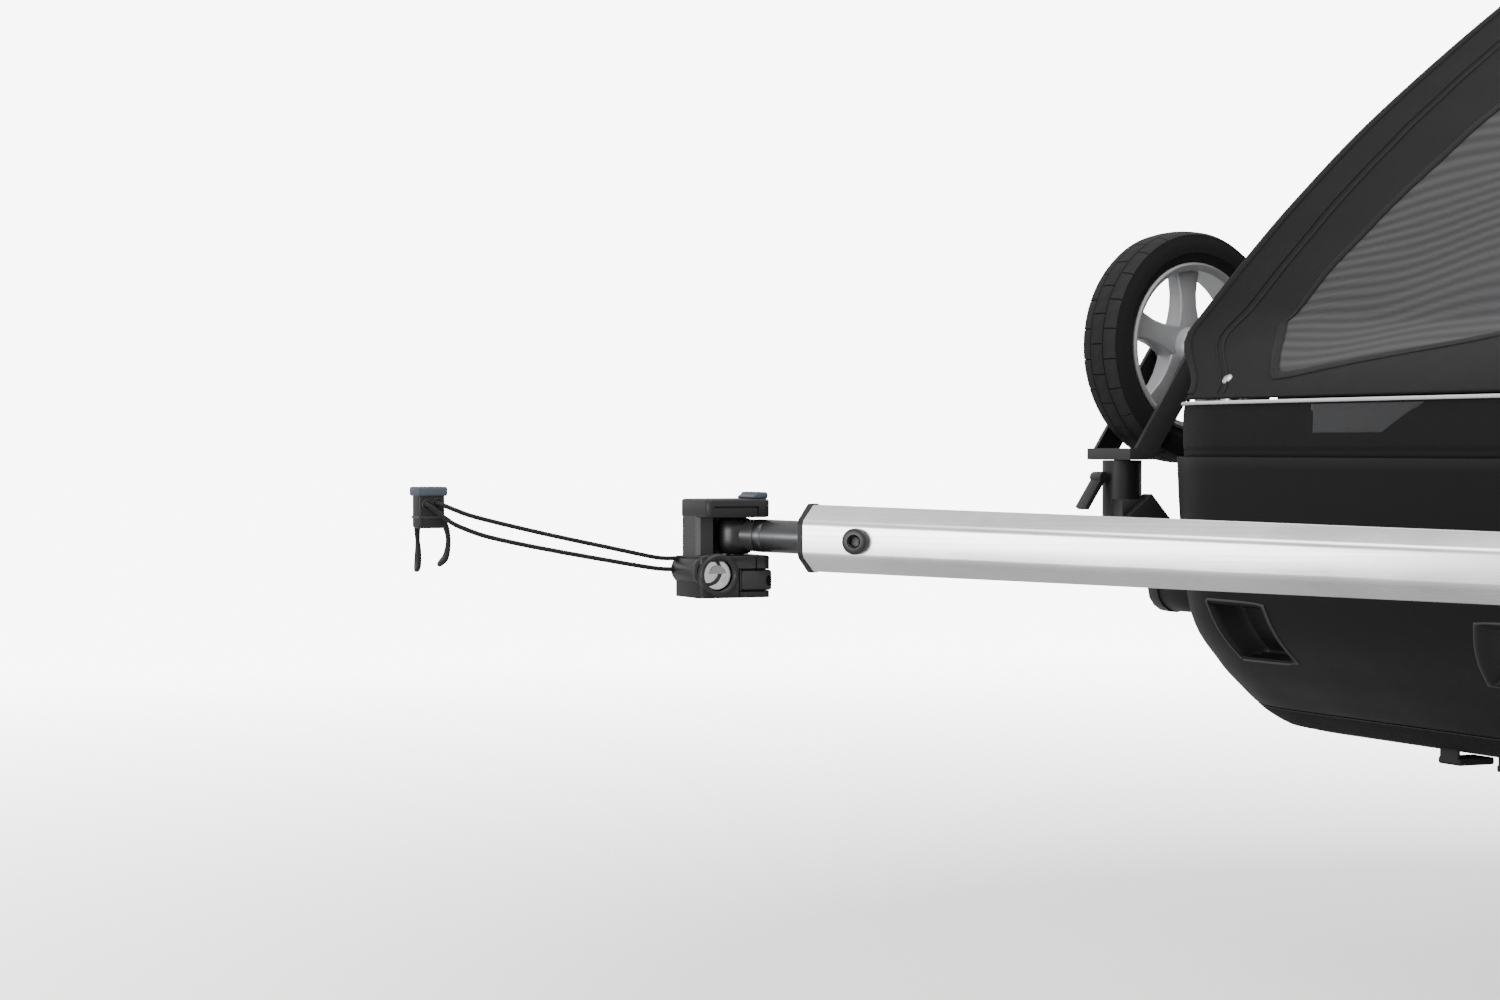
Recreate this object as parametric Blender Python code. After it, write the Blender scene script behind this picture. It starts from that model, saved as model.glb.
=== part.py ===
"""Two-seat child bike trailer with its bent tow arm, axle hitch and elastic safety tether.

Metres. +Z is up, +X points to the rear of the trailer and +Y to its right side.
The origin is on the ground, under the middle of the whole trailer.
"""
import math

import bmesh
import bpy
from mathutils import Matrix, Vector

# Clearances between neighbouring pieces
GAP = 0.0003
PIVOT_GAP = 0.0003
SLIDE_GAP = 0.0004

# Moulded tub: half width, wall, and the front profile as (height, front X)
TUB_HALF_W = 0.280
TUB_WALL = 0.004
TUB_FLOOR_Z = 0.158
TUB_RIM_Z = 0.346
TUB_REAR_X = 0.600
TUB_NOSE_R = 0.118
TUB_TAIL_R = 0.030
TUB_NOSE = ((0.158, -0.105), (0.162, -0.129), (0.171, -0.148), (0.178, -0.158), (0.188, -0.170),
            (0.207, -0.190), (0.240, -0.213), (0.300, -0.222), (0.346, -0.225))
TUB_TAIL_RISE = 0.040
STRIP_TOP_Z = 0.178
STRIP_T = 0.003
STRIP_TAB_W = 0.022
STRIP_TAB_DROP = 0.009
STRIP_TAB_YS = (0.029, -0.029)
POCKET_Y = (0.109, 0.172)
POCKET_Z = (0.215, 0.250)
POCKET_DEPTH = 0.022
CORNER_STEPS = 4

# Front skirt, piping and bare badge patch
SKIRT_TOP_Z = 0.3805
SKIRT_T = 0.0015
SKIRT_FRONT_X = -0.2195
SKIRT_INSET = 0.0010
SKIRT_HALF_W = TUB_HALF_W - SKIRT_INSET
SKIRT_BACK_X = -0.095
PIPING_R = 0.0012
BADGE_T = 0.0008
BADGE_YS = (0.049, -0.066, -0.025)
BADGE_ZS = (0.361, 0.3795)

# Fabric cabin: outer profile of the folding canopy as (X, height), and its tubes
CANOPY_INSET = 0.005
CANOPY_HALF_W = TUB_HALF_W - CANOPY_INSET
FABRIC_T = 0.0015
TUBE_R = 0.010
CANOPY = ((-0.2156, 0.3850), (-0.180, 0.4245), (-0.166, 0.440), (-0.128, 0.482), (-0.084, 0.527), (-0.017, 0.588),
          (0.086, 0.668), (0.200, 0.746), (0.320, 0.820), (0.440, 0.880), (0.545, 0.915))
COVER_END_X = 0.290
COVER_FOOT_INSET = 0.068
COVER_FOOT_HALF_W = TUB_HALF_W - COVER_FOOT_INSET
COVER_FOOT_FOLD = 0.012
WINDOW = ((0.115, 0.402), (0.179, 0.446), (0.172, 0.519), (0.155, 0.605), (0.145, 0.760))
WINDOW_MID_Z = 0.420
MESH_T = 0.0010
SIDE_T = 0.0015

# Canopy hinge at the nose, and the rear uprights that fold up under it
HINGE_X = -0.145
HINGE_Z = 0.372
HINGE_INSET = 0.032
HINGE_Y = TUB_HALF_W - HINGE_INSET
HINGE_PIN_R = 0.004
HINGE_EYE_R = 0.011
NOSE_BAR_R = 0.008
NOSE_STRUT_Y = 0.120
NOSE_STRUT_X = -0.2174
UPRIGHT_TOP_X = 0.470
UPRIGHT_FOOT = (0.560, 0.345)
UPRIGHT_R = 0.010
UPRIGHT_PIN_R = 0.005
UPRIGHT_EYE_R = 0.0098
REAR_CORNER_R = 0.050

# Seats
SEAT_INSET = 0.052
SEAT_HALF_W = TUB_HALF_W - SEAT_INSET
SEAT_X = (0.130, 0.4395)
SEAT_TOP_Z = 0.322
BENCH_T = 0.040
BENCH_FRONT_T = 0.030
BENCH_EDGE_R = 0.012
BACK_T = 0.032
BACK_TOP_Z = 0.740
BACK_BASE_X = 0.470
BACK_TOP_X = 0.415
BELT_W = 0.026
BELT_T = 0.003

# Handlebar
HANDLE_HUB_INSET = 0.071
HANDLE_HUB_W = 0.024
HANDLE_HUB_Y = (CANOPY_HALF_W - HANDLE_HUB_INSET - HANDLE_HUB_W, CANOPY_HALF_W - HANDLE_HUB_INSET)
HANDLE_HUB_R = 0.017
HANDLE_REACH = 0.142
HANDLE_RISE = 0.018
HANDLE_R = 0.0095
GRIP_R = 0.015
GRIP_HALF_L = 0.130
HANDLE_BUTTON = (0.006, 0.034, 0.010)
HANDLE_BUTTON_TRAVEL = 0.003

# Road wheels: ISO 47-406 tyres, on quick-release stub axles
WHEEL_OUT = 0.095
WHEEL_Y = TUB_HALF_W + WHEEL_OUT
AXLE_X = 0.400
TYRE_W = 0.047
TYRE_H = 0.0455
RIM_R = 0.2045
TYRE_R = RIM_R + TYRE_H
RIM_DEPTH = 0.0165
RIM_W = 0.025
HUB_HALF_L = 0.0295
HUB_R = 0.014
HUB_FLANGE_R = 0.024
HUB_FLANGE_T = 0.004
SPOKES = 20
SPOKE_R = 0.0011
AXLE_R = 0.006
AXLE_SHOULDER_R = 0.013
RELEASE_R = 0.0075
RELEASE_L = 0.0075
RELEASE_TRAVEL = 0.003

# Axle frame: two side plates and the cross tube under the floor
PLATE_T = 0.006
PLATE_HALF_L = 0.055
PLATE_DROP = 0.036
PLATE_OVER_AXLE = 0.050
PLATE_Z = (TUB_FLOOR_Z - PLATE_DROP, TYRE_R + PLATE_OVER_AXLE)
CROSS_R = 0.012

# Stroller wheels, shown stowed beside the nose and toed in
CASTER_OUT = 0.045
CASTER_Y = TUB_HALF_W + CASTER_OUT
CASTER_X = -0.139
CASTER_Z = 0.424
CASTER_R = 0.083
CASTER_W = 0.036
CASTER_TOE = math.radians(11.3)
CASTER_TRAIL = 0.058
CASTER_RIM_R = 0.060
CASTER_RIM_T = 0.006
CASTER_SPOKES = 5
CASTER_PIVOT_X = -0.165
CASTER_PIVOT_R = 0.008
CASTER_EYE_R = 0.017
CASTER_BOSS_L = 0.0098
CASTER_EYE_W = 0.0122
CASTER_EYE_Y = (TUB_HALF_W + CASTER_BOSS_L, TUB_HALF_W + CASTER_BOSS_L + CASTER_EYE_W)
CASTER_HOUSING_R = 0.014
CASTER_HOUSING_Z = (0.300, 0.3435)
CASTER_STEM_R = 0.006
CASTER_CROWN_T = 0.008
CASTER_LEG_T = 0.003
CASTER_AXLE_R = 0.004
CASTER_LEVER = (0.014, 0.026, 0.0036)

# Tow arm: eight-sided extrusion, its centre line and its bend
ARM_HEIGHT = 0.0346
ARM_DEPTH = 0.036
ARM_FLAT = 0.018
ARM_FRONT = Vector((-0.6325, -0.1023, 0.3055))
ARM_HEADING = math.radians(-47.7)
ARM_SLOPE = -0.0288
ARM_OUT = 0.106
ARM_SIDE_Y = -(TUB_HALF_W + ARM_OUT)
ARM_BEND_R = 0.065
ARM_BEND_STEPS = 8
ARM_WALL = 0.0026
ARM_PLUG = 0.070
ARM_CAP_T = 0.0023
ARM_CAP_LIP = 0.0006
ARM_BOLT_IN = 0.030
ARM_BOLT_R = 0.0067
ARM_BOLT_HEAD = 0.0045
ARM_SOCKET_R = 0.0030

# Receiver for the arm, ahead of the left wheel
RECEIVER_L = 0.120
RECEIVER_TO_TYRE = 0.010
RECEIVER_X = (AXLE_X - TYRE_R - RECEIVER_TO_TYRE - RECEIVER_L, AXLE_X - TYRE_R - RECEIVER_TO_TYRE)
ARM_TAIL_BACK = 0.045
ARM_TAIL_X = RECEIVER_X[1] - ARM_TAIL_BACK
RECEIVER_WALL = 0.004
RECEIVER_PLATE_T = 0.006
RECEIVER_PLATE_BACK = 0.030
RECEIVER_PLATE_END_X = AXLE_X - RECEIVER_PLATE_BACK
LOCK_PIN_R = 0.004
LOCK_KNOB_R = 0.010
LOCK_KNOB_L = 0.016

# Hitch: roll rod and knuckle on the arm, clevis head on the bicycle's axle. The X sizes
# of the head count from its pin.
PIN_TO_ARM = 0.0458
ROD_R = 0.00865
ROD_IN = 0.044
KNUCKLE_R = 0.0090
KNUCKLE_NECK_R = 0.0086
KNUCKLE_FACE = 0.0166
HEAD_PIN_R = 0.0045
HEAD_TOP_Z = (0.3161, 0.3257)
HEAD_BASE_Z = (0.2744, 0.2963)
HEAD_TOP_X = (-0.0239, 0.0130)
HEAD_BASE_X = (-0.0277, 0.0130)
HEAD_HALF_W = 0.0180
HEAD_EDGE_R = 0.0045
HEAD_WALL_X = -0.0140
HEAD_WALL_Y = -0.0044
BOSS_AT = (-0.0224, 0.2886)
BOSS_R = 0.0080
CAP_X = (0.0035, 0.0128)
CAP_Y = (-0.0140, 0.0060)
CAP_H = 0.0036
CAP_TRAVEL = 0.0020
LOCK_AT = (-0.6804, 0.2865)
LOCK_R = 0.0080
LOCK_HOLE_R = 0.0087
LOCK_RECESS = 0.0025
LOCK_L = 0.0070
LATCH_X = (-0.0041, 0.0132)
LATCH_Z = (0.2782, 0.2888)
LATCH_T = 0.0050
LATCH_TRAVEL = 0.0020

# Tether: the elastic cord, then its two-hole sliding lock
CORD_R = 0.0012
CORD_HOLE_R = 0.0019
CORD_HEAD_Y = -0.0564
CORD_HEAD_Z = (0.2945, 0.2888)
BLOCK_AT = Vector((-0.83175, -0.0684, 0.3209))
BLOCK_SIZE = Vector((0.0137, 0.0114, 0.0178))
BLOCK_HOLES = ((-0.8289, 0.3246), (-0.8344, 0.3239))
BLOCK_CAP_T = 0.0028
BLOCK_CAP_LIP = 0.0012
UPPER_RUN = ((-0.7194, -0.0600, 0.2971), (-0.7528, -0.0660, 0.3040), (-0.7718, -0.0700, 0.3094),
             (-0.8047, -0.0765, 0.3160), (-0.8170, -0.0785, 0.3195), (-0.8255, -0.0790, 0.3235))
LOWER_RUN = ((-0.7314, -0.0620, 0.2927), (-0.7592, -0.0670, 0.2990), (-0.7922, -0.0745, 0.3052),
             (-0.8100, -0.0780, 0.3101), (-0.8215, -0.0800, 0.3150), (-0.8305, -0.0795, 0.3215))
TETHER_LOOP = ((-0.8235, -0.0595, 0.3226), (-0.8190, -0.0590, 0.3177), (-0.8182, -0.0592, 0.3132),
               (-0.8195, -0.0598, 0.3093), (-0.8215, -0.0570, 0.3076), (-0.8200, -0.0500, 0.3076),
               (-0.8135, -0.0400, 0.3099), (-0.8110, -0.0365, 0.3148), (-0.8150, -0.0355, 0.3203),
               (-0.8210, -0.0350, 0.3219), (-0.8262, -0.0355, 0.3184), (-0.8275, -0.0370, 0.3122),
               (-0.8300, -0.0430, 0.3080), (-0.8333, -0.0530, 0.3060), (-0.8336, -0.0580, 0.3070),
               (-0.8338, -0.0592, 0.3109), (-0.8348, -0.0590, 0.3158), (-0.8355, -0.0595, 0.3213))

# Brake and fold levers
PEDAL_HALF_W = 0.045
PEDAL_L = 0.070
PEDAL_T = 0.008
PEDAL_OUT = 0.017
PEDAL_PIVOT = (TUB_REAR_X + PEDAL_OUT, 0.205)
PEDAL_PIVOT_R = 0.005
BRAKE_PIN_R = 0.004
BRAKE_PIN_OFF = 0.0141
BRAKE_PIN_AT = (AXLE_X - BRAKE_PIN_OFF, TYRE_R + BRAKE_PIN_OFF)
BRAKE_TRAVEL = 0.006
LEVER_PIVOT = (0.556, 0.366)
LEVER_HUB_R = 0.011
LEVER_L = 0.055
LEVER_T = 0.006
LEVER_PIN_R = 0.004

PARTS = None
CUTTERS = None
MATERIALS = {}


def start():
    """Empty the scene and make the collections for the parts and their cutters."""
    global PARTS, CUTTERS
    for obj in list(bpy.data.objects):
        bpy.data.objects.remove(obj, do_unlink=True)
    PARTS = bpy.data.collections.new("double_bike_trailer")
    CUTTERS = bpy.data.collections.new("cutters")
    for collection in (PARTS, CUTTERS):
        bpy.context.scene.collection.children.link(collection)


def make_materials():
    """Plain colours of the trailer's materials: name, colour, roughness, metallic."""
    palette = (("tub_plastic", (0.022, 0.022, 0.024), 0.50, 0.0),
               ("black_plastic", (0.018, 0.018, 0.020), 0.45, 0.0),
               ("dark_fabric", (0.030, 0.030, 0.032), 0.90, 0.0),
               ("mesh_fabric", (0.110, 0.110, 0.115), 0.80, 0.0),
               ("seat_fabric", (0.090, 0.095, 0.105), 0.95, 0.0),
               ("reflective", (0.800, 0.800, 0.800), 0.35, 0.0),
               ("aluminium", (0.820, 0.820, 0.825), 0.28, 1.0),
               ("dark_metal", (0.070, 0.070, 0.075), 0.35, 1.0),
               ("chrome", (0.850, 0.850, 0.860), 0.10, 1.0),
               ("rubber", (0.012, 0.012, 0.013), 0.85, 0.0),
               ("grip_foam", (0.020, 0.020, 0.020), 0.95, 0.0),
               ("blue_grey", (0.080, 0.110, 0.140), 0.45, 0.0))
    for name, colour, roughness, metallic in palette:
        mat = bpy.data.materials.new(name)
        mat.use_nodes = True
        shader = mat.node_tree.nodes["Principled BSDF"]
        shader.inputs["Base Color"].default_value = (*colour, 1.0)
        shader.inputs["Roughness"].default_value = roughness
        shader.inputs["Metallic"].default_value = metallic
        MATERIALS[name] = mat


def add(name, mesh, mat, origin=(0.0, 0.0, 0.0), angle=35.0):
    """Make a named part from a world-space mesh, with its origin on its joint's axis."""
    origin = Vector(origin)
    mesh.transform(Matrix.Translation(-origin))
    mesh.name = name
    mesh.materials.clear()
    mesh.materials.append(MATERIALS[mat])
    mesh.shade_smooth()
    mesh.set_sharp_from_angle(angle=math.radians(angle))
    obj = bpy.data.objects.new(name, mesh)
    obj.location = origin
    PARTS.objects.link(obj)
    return obj


def to_mesh(bm):
    """Finish a bmesh as a mesh whose faces point out."""
    bmesh.ops.recalc_face_normals(bm, faces=bm.faces)
    mesh = bpy.data.meshes.new("shape")
    bm.to_mesh(mesh)
    bm.free()
    return mesh


def box(low, high, bevel=0.0):
    """Box between two corners, with rounded edges if a bevel is given."""
    low, high = Vector(low), Vector(high)
    size = high - low
    place = Matrix.Translation((low + high) / 2) @ Matrix.Diagonal((*size, 1.0))
    bm = bmesh.new()
    bmesh.ops.create_cube(bm, size=1.0, matrix=place)
    if bevel:
        bmesh.ops.bevel(bm, geom=bm.edges[:], offset=bevel, segments=2, affect="EDGES", profile=0.5)
    return to_mesh(bm)


def cylinder(start_at, end_at, radius, sides=16):
    """Closed cylinder between two points."""
    start_at, end_at = Vector(start_at), Vector(end_at)
    along = end_at - start_at
    turn = along.to_track_quat("Z", "Y").to_matrix().to_4x4()
    bm = bmesh.new()
    bmesh.ops.create_cone(bm, cap_ends=True, segments=sides, radius1=radius, radius2=radius,
                          depth=along.length, matrix=Matrix.Translation((start_at + end_at) / 2) @ turn)
    return to_mesh(bm)


def ball(centre, radius, steps=16):
    """Closed sphere."""
    bm = bmesh.new()
    bmesh.ops.create_uvsphere(bm, u_segments=steps, v_segments=steps // 2, radius=radius,
                              matrix=Matrix.Translation(centre))
    return to_mesh(bm)


def prism(outline, axis, start_at, end_at):
    """Flat outline pushed along X, Y or Z: its 2D points are the other two axes in order."""
    def place(u, v, w):
        return {"X": (w, u, v), "Y": (u, w, v), "Z": (u, v, w)}[axis]
    bm = bmesh.new()
    face = bm.faces.new([bm.verts.new(place(u, v, start_at)) for u, v in outline])
    pushed = bmesh.ops.extrude_face_region(bm, geom=[face])
    verts = [item for item in pushed["geom"] if isinstance(item, bmesh.types.BMVert)]
    bmesh.ops.translate(bm, verts=verts, vec=Vector(place(0.0, 0.0, end_at - start_at)))
    return to_mesh(bm)


def loft(rings, looped=False):
    """Skin between rings of equal point counts, capped at both ends or looped into a ring."""
    bm = bmesh.new()
    rows = [[bm.verts.new(point) for point in ring] for ring in rings]
    pairs = list(zip(rows, rows[1:]))
    if looped:
        pairs.append((rows[-1], rows[0]))
    else:
        bm.faces.new(rows[0])
        bm.faces.new(rows[-1])
    for low, high in pairs:
        for i in range(len(low)):
            j = (i + 1) % len(low)
            bm.faces.new((low[i], low[j], high[j], high[i]))
    return to_mesh(bm)


def turned(profile, centre, axis, steps=48):
    """Ring or disc turned about an axis: the closed profile is (radius, distance along the axis)."""
    axis = Vector(axis).normalized()
    side = axis.orthogonal().normalized()
    other = axis.cross(side)
    centre = Vector(centre)
    rings = []
    for i in range(steps):
        angle = math.tau * i / steps
        out = side * math.cos(angle) + other * math.sin(angle)
        rings.append([centre + out * radius + axis * along for radius, along in profile])
    return loft(rings, looped=True)


def rounded_path(points, radius, steps=5):
    """Points of a path whose inner corners are replaced by arcs."""
    points = [Vector(p) for p in points]
    path = [points[0]]
    for before, corner, after in zip(points, points[1:], points[2:]):
        into, out = (corner - before).normalized(), (after - corner).normalized()
        half = into.angle(out) / 2
        reach = radius * math.tan(half)
        centre = corner + (out - into).normalized() * (radius / math.cos(half))
        first = corner - into * reach - centre
        turn_axis = into.cross(out).normalized()
        for i in range(steps + 1):
            path.append(centre + Matrix.Rotation(2 * half * i / steps, 3, turn_axis) @ first)
    path.append(points[-1])
    return path


def tube(points, radius, resolution=2):
    """Round bar along a path, as a closed mesh."""
    curve = bpy.data.curves.new("path", "CURVE")
    curve.dimensions = "3D"
    curve.bevel_depth = radius
    curve.bevel_resolution = resolution
    curve.use_fill_caps = True
    spline = curve.splines.new("POLY")
    spline.points.add(len(points) - 1)
    for slot, point in zip(spline.points, points):
        slot.co = (*point, 1.0)
    return curve_mesh(curve)


def curve_mesh(curve):
    """Turn a curve into a mesh with its caps welded on."""
    guide = bpy.data.objects.new("guide", curve)
    bpy.context.scene.collection.objects.link(guide)
    graph = bpy.context.evaluated_depsgraph_get()
    mesh = bpy.data.meshes.new_from_object(guide.evaluated_get(graph))
    bpy.data.objects.remove(guide)
    bm = bmesh.new()
    bm.from_mesh(mesh)
    bmesh.ops.remove_doubles(bm, verts=bm.verts, dist=0.00001)
    return to_mesh(bm)


def tool(obj, mesh, operation):
    """Add or cut one shape on a part with a Boolean modifier."""
    cutter = bpy.data.objects.new(obj.name + "_tool", mesh)
    cutter.hide_render = True
    cutter.display_type = "WIRE"
    CUTTERS.objects.link(cutter)
    modifier = obj.modifiers.new(operation.lower(), "BOOLEAN")
    modifier.object = cutter
    modifier.operation = operation
    modifier.solver = "EXACT"


def join(obj, *meshes):
    for mesh in meshes:
        tool(obj, mesh, "UNION")


def cut(obj, *meshes):
    for mesh in meshes:
        tool(obj, mesh, "DIFFERENCE")


def mirror_mesh(mesh):
    """Mirror a mesh to the other side of the trailer."""
    mesh.transform(Matrix.Diagonal((1.0, -1.0, 1.0, 1.0)))
    mesh.flip_normals()
    return mesh


def both_sides(name, build, **values):
    """Build the right-hand piece and its mirror image on the left."""
    right = build(name + "_right", **values)
    graph = bpy.context.evaluated_depsgraph_get()
    mesh = bpy.data.meshes.new_from_object(right.evaluated_get(graph))
    place = right.location
    mesh.transform(Matrix.Translation(place))
    mirror_mesh(mesh)
    add(name + "_left", mesh, right.data.materials[0].name, (place.x, -place.y, place.z))


def ring_outline(front_x, rear_x, half_w, nose_r, tail_r, z):
    """Rounded rectangle in plan, with its large corners at the nose."""
    corners = ((front_x + nose_r, -half_w + nose_r, nose_r, 180.0), (rear_x - tail_r, -half_w + tail_r, tail_r, 270.0),
               (rear_x - tail_r, half_w - tail_r, tail_r, 0.0), (front_x + nose_r, half_w - nose_r, nose_r, 90.0))
    points = []
    for centre_x, centre_y, radius, first in corners:
        for i in range(CORNER_STEPS + 1):
            angle = math.radians(first + 90.0 * i / CORNER_STEPS)
            points.append(Vector((centre_x + radius * math.cos(angle), centre_y + radius * math.sin(angle), z)))
    return points


def along(pairs, value):
    """Straight-line reading of a table of (value, result) pairs."""
    for (u0, v0), (u1, v1) in zip(pairs, pairs[1:]):
        if value <= u1:
            return v0 + (v1 - v0) * (value - u0) / (u1 - u0)
    return pairs[-1][1]


def tub_ring(z, inset):
    """The tub's section at one height, moved inwards by an inset."""
    rise = max(0.0, 1.0 - (z - TUB_FLOOR_Z) / TUB_TAIL_RISE)
    rear = TUB_REAR_X - TUB_TAIL_RISE * rise ** 2
    return ring_outline(along(TUB_NOSE, z) + inset, rear - inset, TUB_HALF_W - inset,
                        TUB_NOSE_R - inset, TUB_TAIL_R - inset, z)


def build_tub():
    """Moulded tub: open shell with a recessed lower edge, two hand-hold pockets and its bosses."""
    heights = [z for z, _ in TUB_NOSE]
    outer = [tub_ring(z, STRIP_T + GAP) for z in heights if z < STRIP_TOP_Z]
    outer.append(tub_ring(STRIP_TOP_Z - 0.0001, STRIP_T + GAP))
    outer += [tub_ring(z, 0.0) for z in heights if z >= STRIP_TOP_Z]
    inner = [tub_ring(z, TUB_WALL + (0.0 if z > STRIP_TOP_Z else STRIP_T + GAP))
             for z in reversed(heights) if z > TUB_FLOOR_Z + TUB_WALL / 2]
    tub = add("tub", loft(outer + inner), "tub_plastic")
    mid_z = sum(POCKET_Z) / 2
    face_x = along(TUB_NOSE, mid_z)
    for side in (1, -1):
        ys = sorted((side * POCKET_Y[0], side * POCKET_Y[1]))
        margin = TUB_WALL
        join(tub, box((face_x + 0.006, ys[0] - margin, POCKET_Z[0] - margin),
                      (face_x + POCKET_DEPTH + 2 * TUB_WALL, ys[1] + margin, POCKET_Z[1] + margin)))
        outer_y, inner_y = side * POCKET_Y[1], side * POCKET_Y[0]
        cut(tub, prism(((face_x - 0.03, outer_y), (face_x + POCKET_DEPTH, outer_y),
                        (face_x + POCKET_DEPTH, outer_y - side * 0.012), (face_x + 0.001, inner_y),
                        (face_x - 0.03, inner_y)), "Z", *POCKET_Z))
        join(tub, cylinder((CASTER_PIVOT_X, side * HINGE_Y, caster_pivot_z()),
                           (CASTER_PIVOT_X, side * (CASTER_EYE_Y[0] - GAP), caster_pivot_z()), 0.016),
             cylinder((CASTER_PIVOT_X, side * TUB_HALF_W, caster_pivot_z()),
                      (CASTER_PIVOT_X, side * CASTER_EYE_Y[1], caster_pivot_z()), CASTER_PIVOT_R))
        ear_in = side * (CANOPY_HALF_W + GAP)
        x, z = LEVER_PIVOT
        join(tub, box((x - 0.014, min(ear_in, side * TUB_HALF_W), 0.320), (x + 0.014, max(ear_in, side * TUB_HALF_W), z + 0.012)),
             cylinder((x, ear_in + side * 0.001, z), (x, side * (TUB_HALF_W + LEVER_T + GAP), z), LEVER_PIN_R))
        foot_y = upright_y() + UPRIGHT_R + GAP
        join(tub, box((UPRIGHT_FOOT[0] - 0.015, min(side * foot_y, side * (TUB_HALF_W - 0.001)), TUB_RIM_Z - 0.026),
                      (UPRIGHT_FOOT[0] + 0.015, max(side * foot_y, side * (TUB_HALF_W - 0.001)), TUB_RIM_Z)))
        ear_y = side * (PEDAL_HALF_W + GAP)
        px, pz = PEDAL_PIVOT
        join(tub, box((TUB_REAR_X - 0.002, min(ear_y, ear_y + side * 0.008), pz - 0.010),
                      (px + 0.008, max(ear_y, ear_y + side * 0.008), pz + 0.010)),
             cylinder((px, ear_y + side * 0.004, pz), (px, ear_y - side * 0.008, pz), PEDAL_PIVOT_R - PIVOT_GAP, 16))


def build_strip():
    """Grained bumper strip around the tub's lower edge, with its foot tabs."""
    heights = [z for z, _ in TUB_NOSE if TUB_FLOOR_Z < z < STRIP_TOP_Z] + [STRIP_TOP_Z - 0.0004]
    outer = [tub_ring(z, 0.0) for z in heights]
    inner = [tub_ring(z, STRIP_T) for z in reversed(heights)]
    strip = add("skid_strip", loft(outer + inner, looped=True), "black_plastic")
    front = along(TUB_NOSE, heights[0])
    for y in STRIP_TAB_YS:
        join(strip, box((front + 0.0002, y - STRIP_TAB_W / 2, heights[0] - STRIP_TAB_DROP),
                        (front + 0.0300, y + STRIP_TAB_W / 2, TUB_FLOOR_Z - GAP)),
             box((front + 0.0004, y - STRIP_TAB_W / 2 + 0.002, TUB_FLOOR_Z - 0.003),
                 (front + 0.0022, y + STRIP_TAB_W / 2 - 0.002, heights[0] + 0.0004)))


def skirt_ring(z, inset):
    points = ring_outline(SKIRT_FRONT_X + inset, SKIRT_BACK_X + 0.200, SKIRT_HALF_W - inset,
                          TUB_NOSE_R - inset, 0.010, z)
    count = CORNER_STEPS + 1
    nose = points[3 * count:] + points[:count]
    ends = [Vector((SKIRT_BACK_X, nose[0].y, z)), Vector((SKIRT_BACK_X, nose[-1].y, z))]
    return [ends[0]] + nose + [ends[1]]


def build_front_band():
    """Fixed fabric skirt under the piping, the reflective piping and the bare badge patch."""
    low, high = TUB_RIM_Z + GAP, SKIRT_TOP_Z
    sections = zip(skirt_ring(low, 0.0), skirt_ring(high, 0.0), skirt_ring(high, SKIRT_T), skirt_ring(low, SKIRT_T))
    add("front_skirt", loft([list(section) for section in sections]), "dark_fabric")
    add("front_piping", tube(skirt_ring(high + PIPING_R + GAP, SKIRT_T / 2), PIPING_R), "reflective")
    front = skirt_ring(low, 0.0)[1 + CORNER_STEPS].x
    left, right_top, right_low = BADGE_YS
    outline = ((left, BADGE_ZS[0]), (right_low, BADGE_ZS[0]), (right_top, BADGE_ZS[1]), (left, BADGE_ZS[1]))
    add("badge_plate", prism(outline, "X", front - GAP - BADGE_T, front - GAP), "dark_fabric")


def canopy_line(inset, start_x=None, end_x=None):
    """The canopy profile in the XZ plane, moved inwards, between two stations."""
    pts = [Vector((x, z)) for x, z in CANOPY]
    line = []
    for i, point in enumerate(pts):
        before, after = pts[max(i - 1, 0)], pts[min(i + 1, len(pts) - 1)]
        run = (after - before).normalized()
        line.append(Vector((point.x + run.y * inset, point.y - run.x * inset)))
    if start_x is not None:
        line = [Vector((start_x, height_on(line, start_x)))] + [p for p in line if p.x > start_x + 0.002]
    if end_x is not None:
        line = [p for p in line if p.x < end_x - 0.002] + [Vector((end_x, height_on(line, end_x)))]
    return line


def height_on(line, x):
    return along([(p.x, p.y) for p in line], x)


def sleeve_r():
    return TUBE_R + GAP + FABRIC_T


def canopy_tube_y():
    return CANOPY_HALF_W - sleeve_r()


def upright_y():
    return canopy_tube_y() - TUBE_R - UPRIGHT_R - 2 * GAP


def cover_sheet(start_x, end_x, sink=0.0, thickness=FABRIC_T):
    """Fabric stretched over the two canopy tubes, its edges wrapped round them."""
    turns = 4
    outer_line = canopy_line(0.0, start_x, end_x)
    rings = []
    for k, point in enumerate(outer_line):
        before, after = outer_line[max(k - 1, 0)], outer_line[min(k + 1, len(outer_line) - 1)]
        run = (after - before).normalized()
        down = Vector((run.y, -run.x))
        centre = point + down * (sleeve_r() + sink)
        ring = []
        for radius in (sleeve_r(), sleeve_r() - thickness):
            half = []
            for i in range(turns + 1):
                angle = math.radians(200 - 110 * i / turns)
                y = -canopy_tube_y() + radius * math.cos(angle)
                lift = radius * math.sin(angle)
                if k == 0 and start_x == CANOPY[0][0]:
                    y = -COVER_FOOT_HALF_W + COVER_FOOT_FOLD * i / turns
                    lift = radius
                half.append((y, lift))
            row = half + [(-y, lift) for y, lift in reversed(half)]
            if radius != sleeve_r():
                row.reverse()
            for y, lift in row:
                spot = centre - down * lift
                ring.append(Vector((spot.x, y, spot.y)))
        rings.append(ring)
    return loft(rings)


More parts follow.
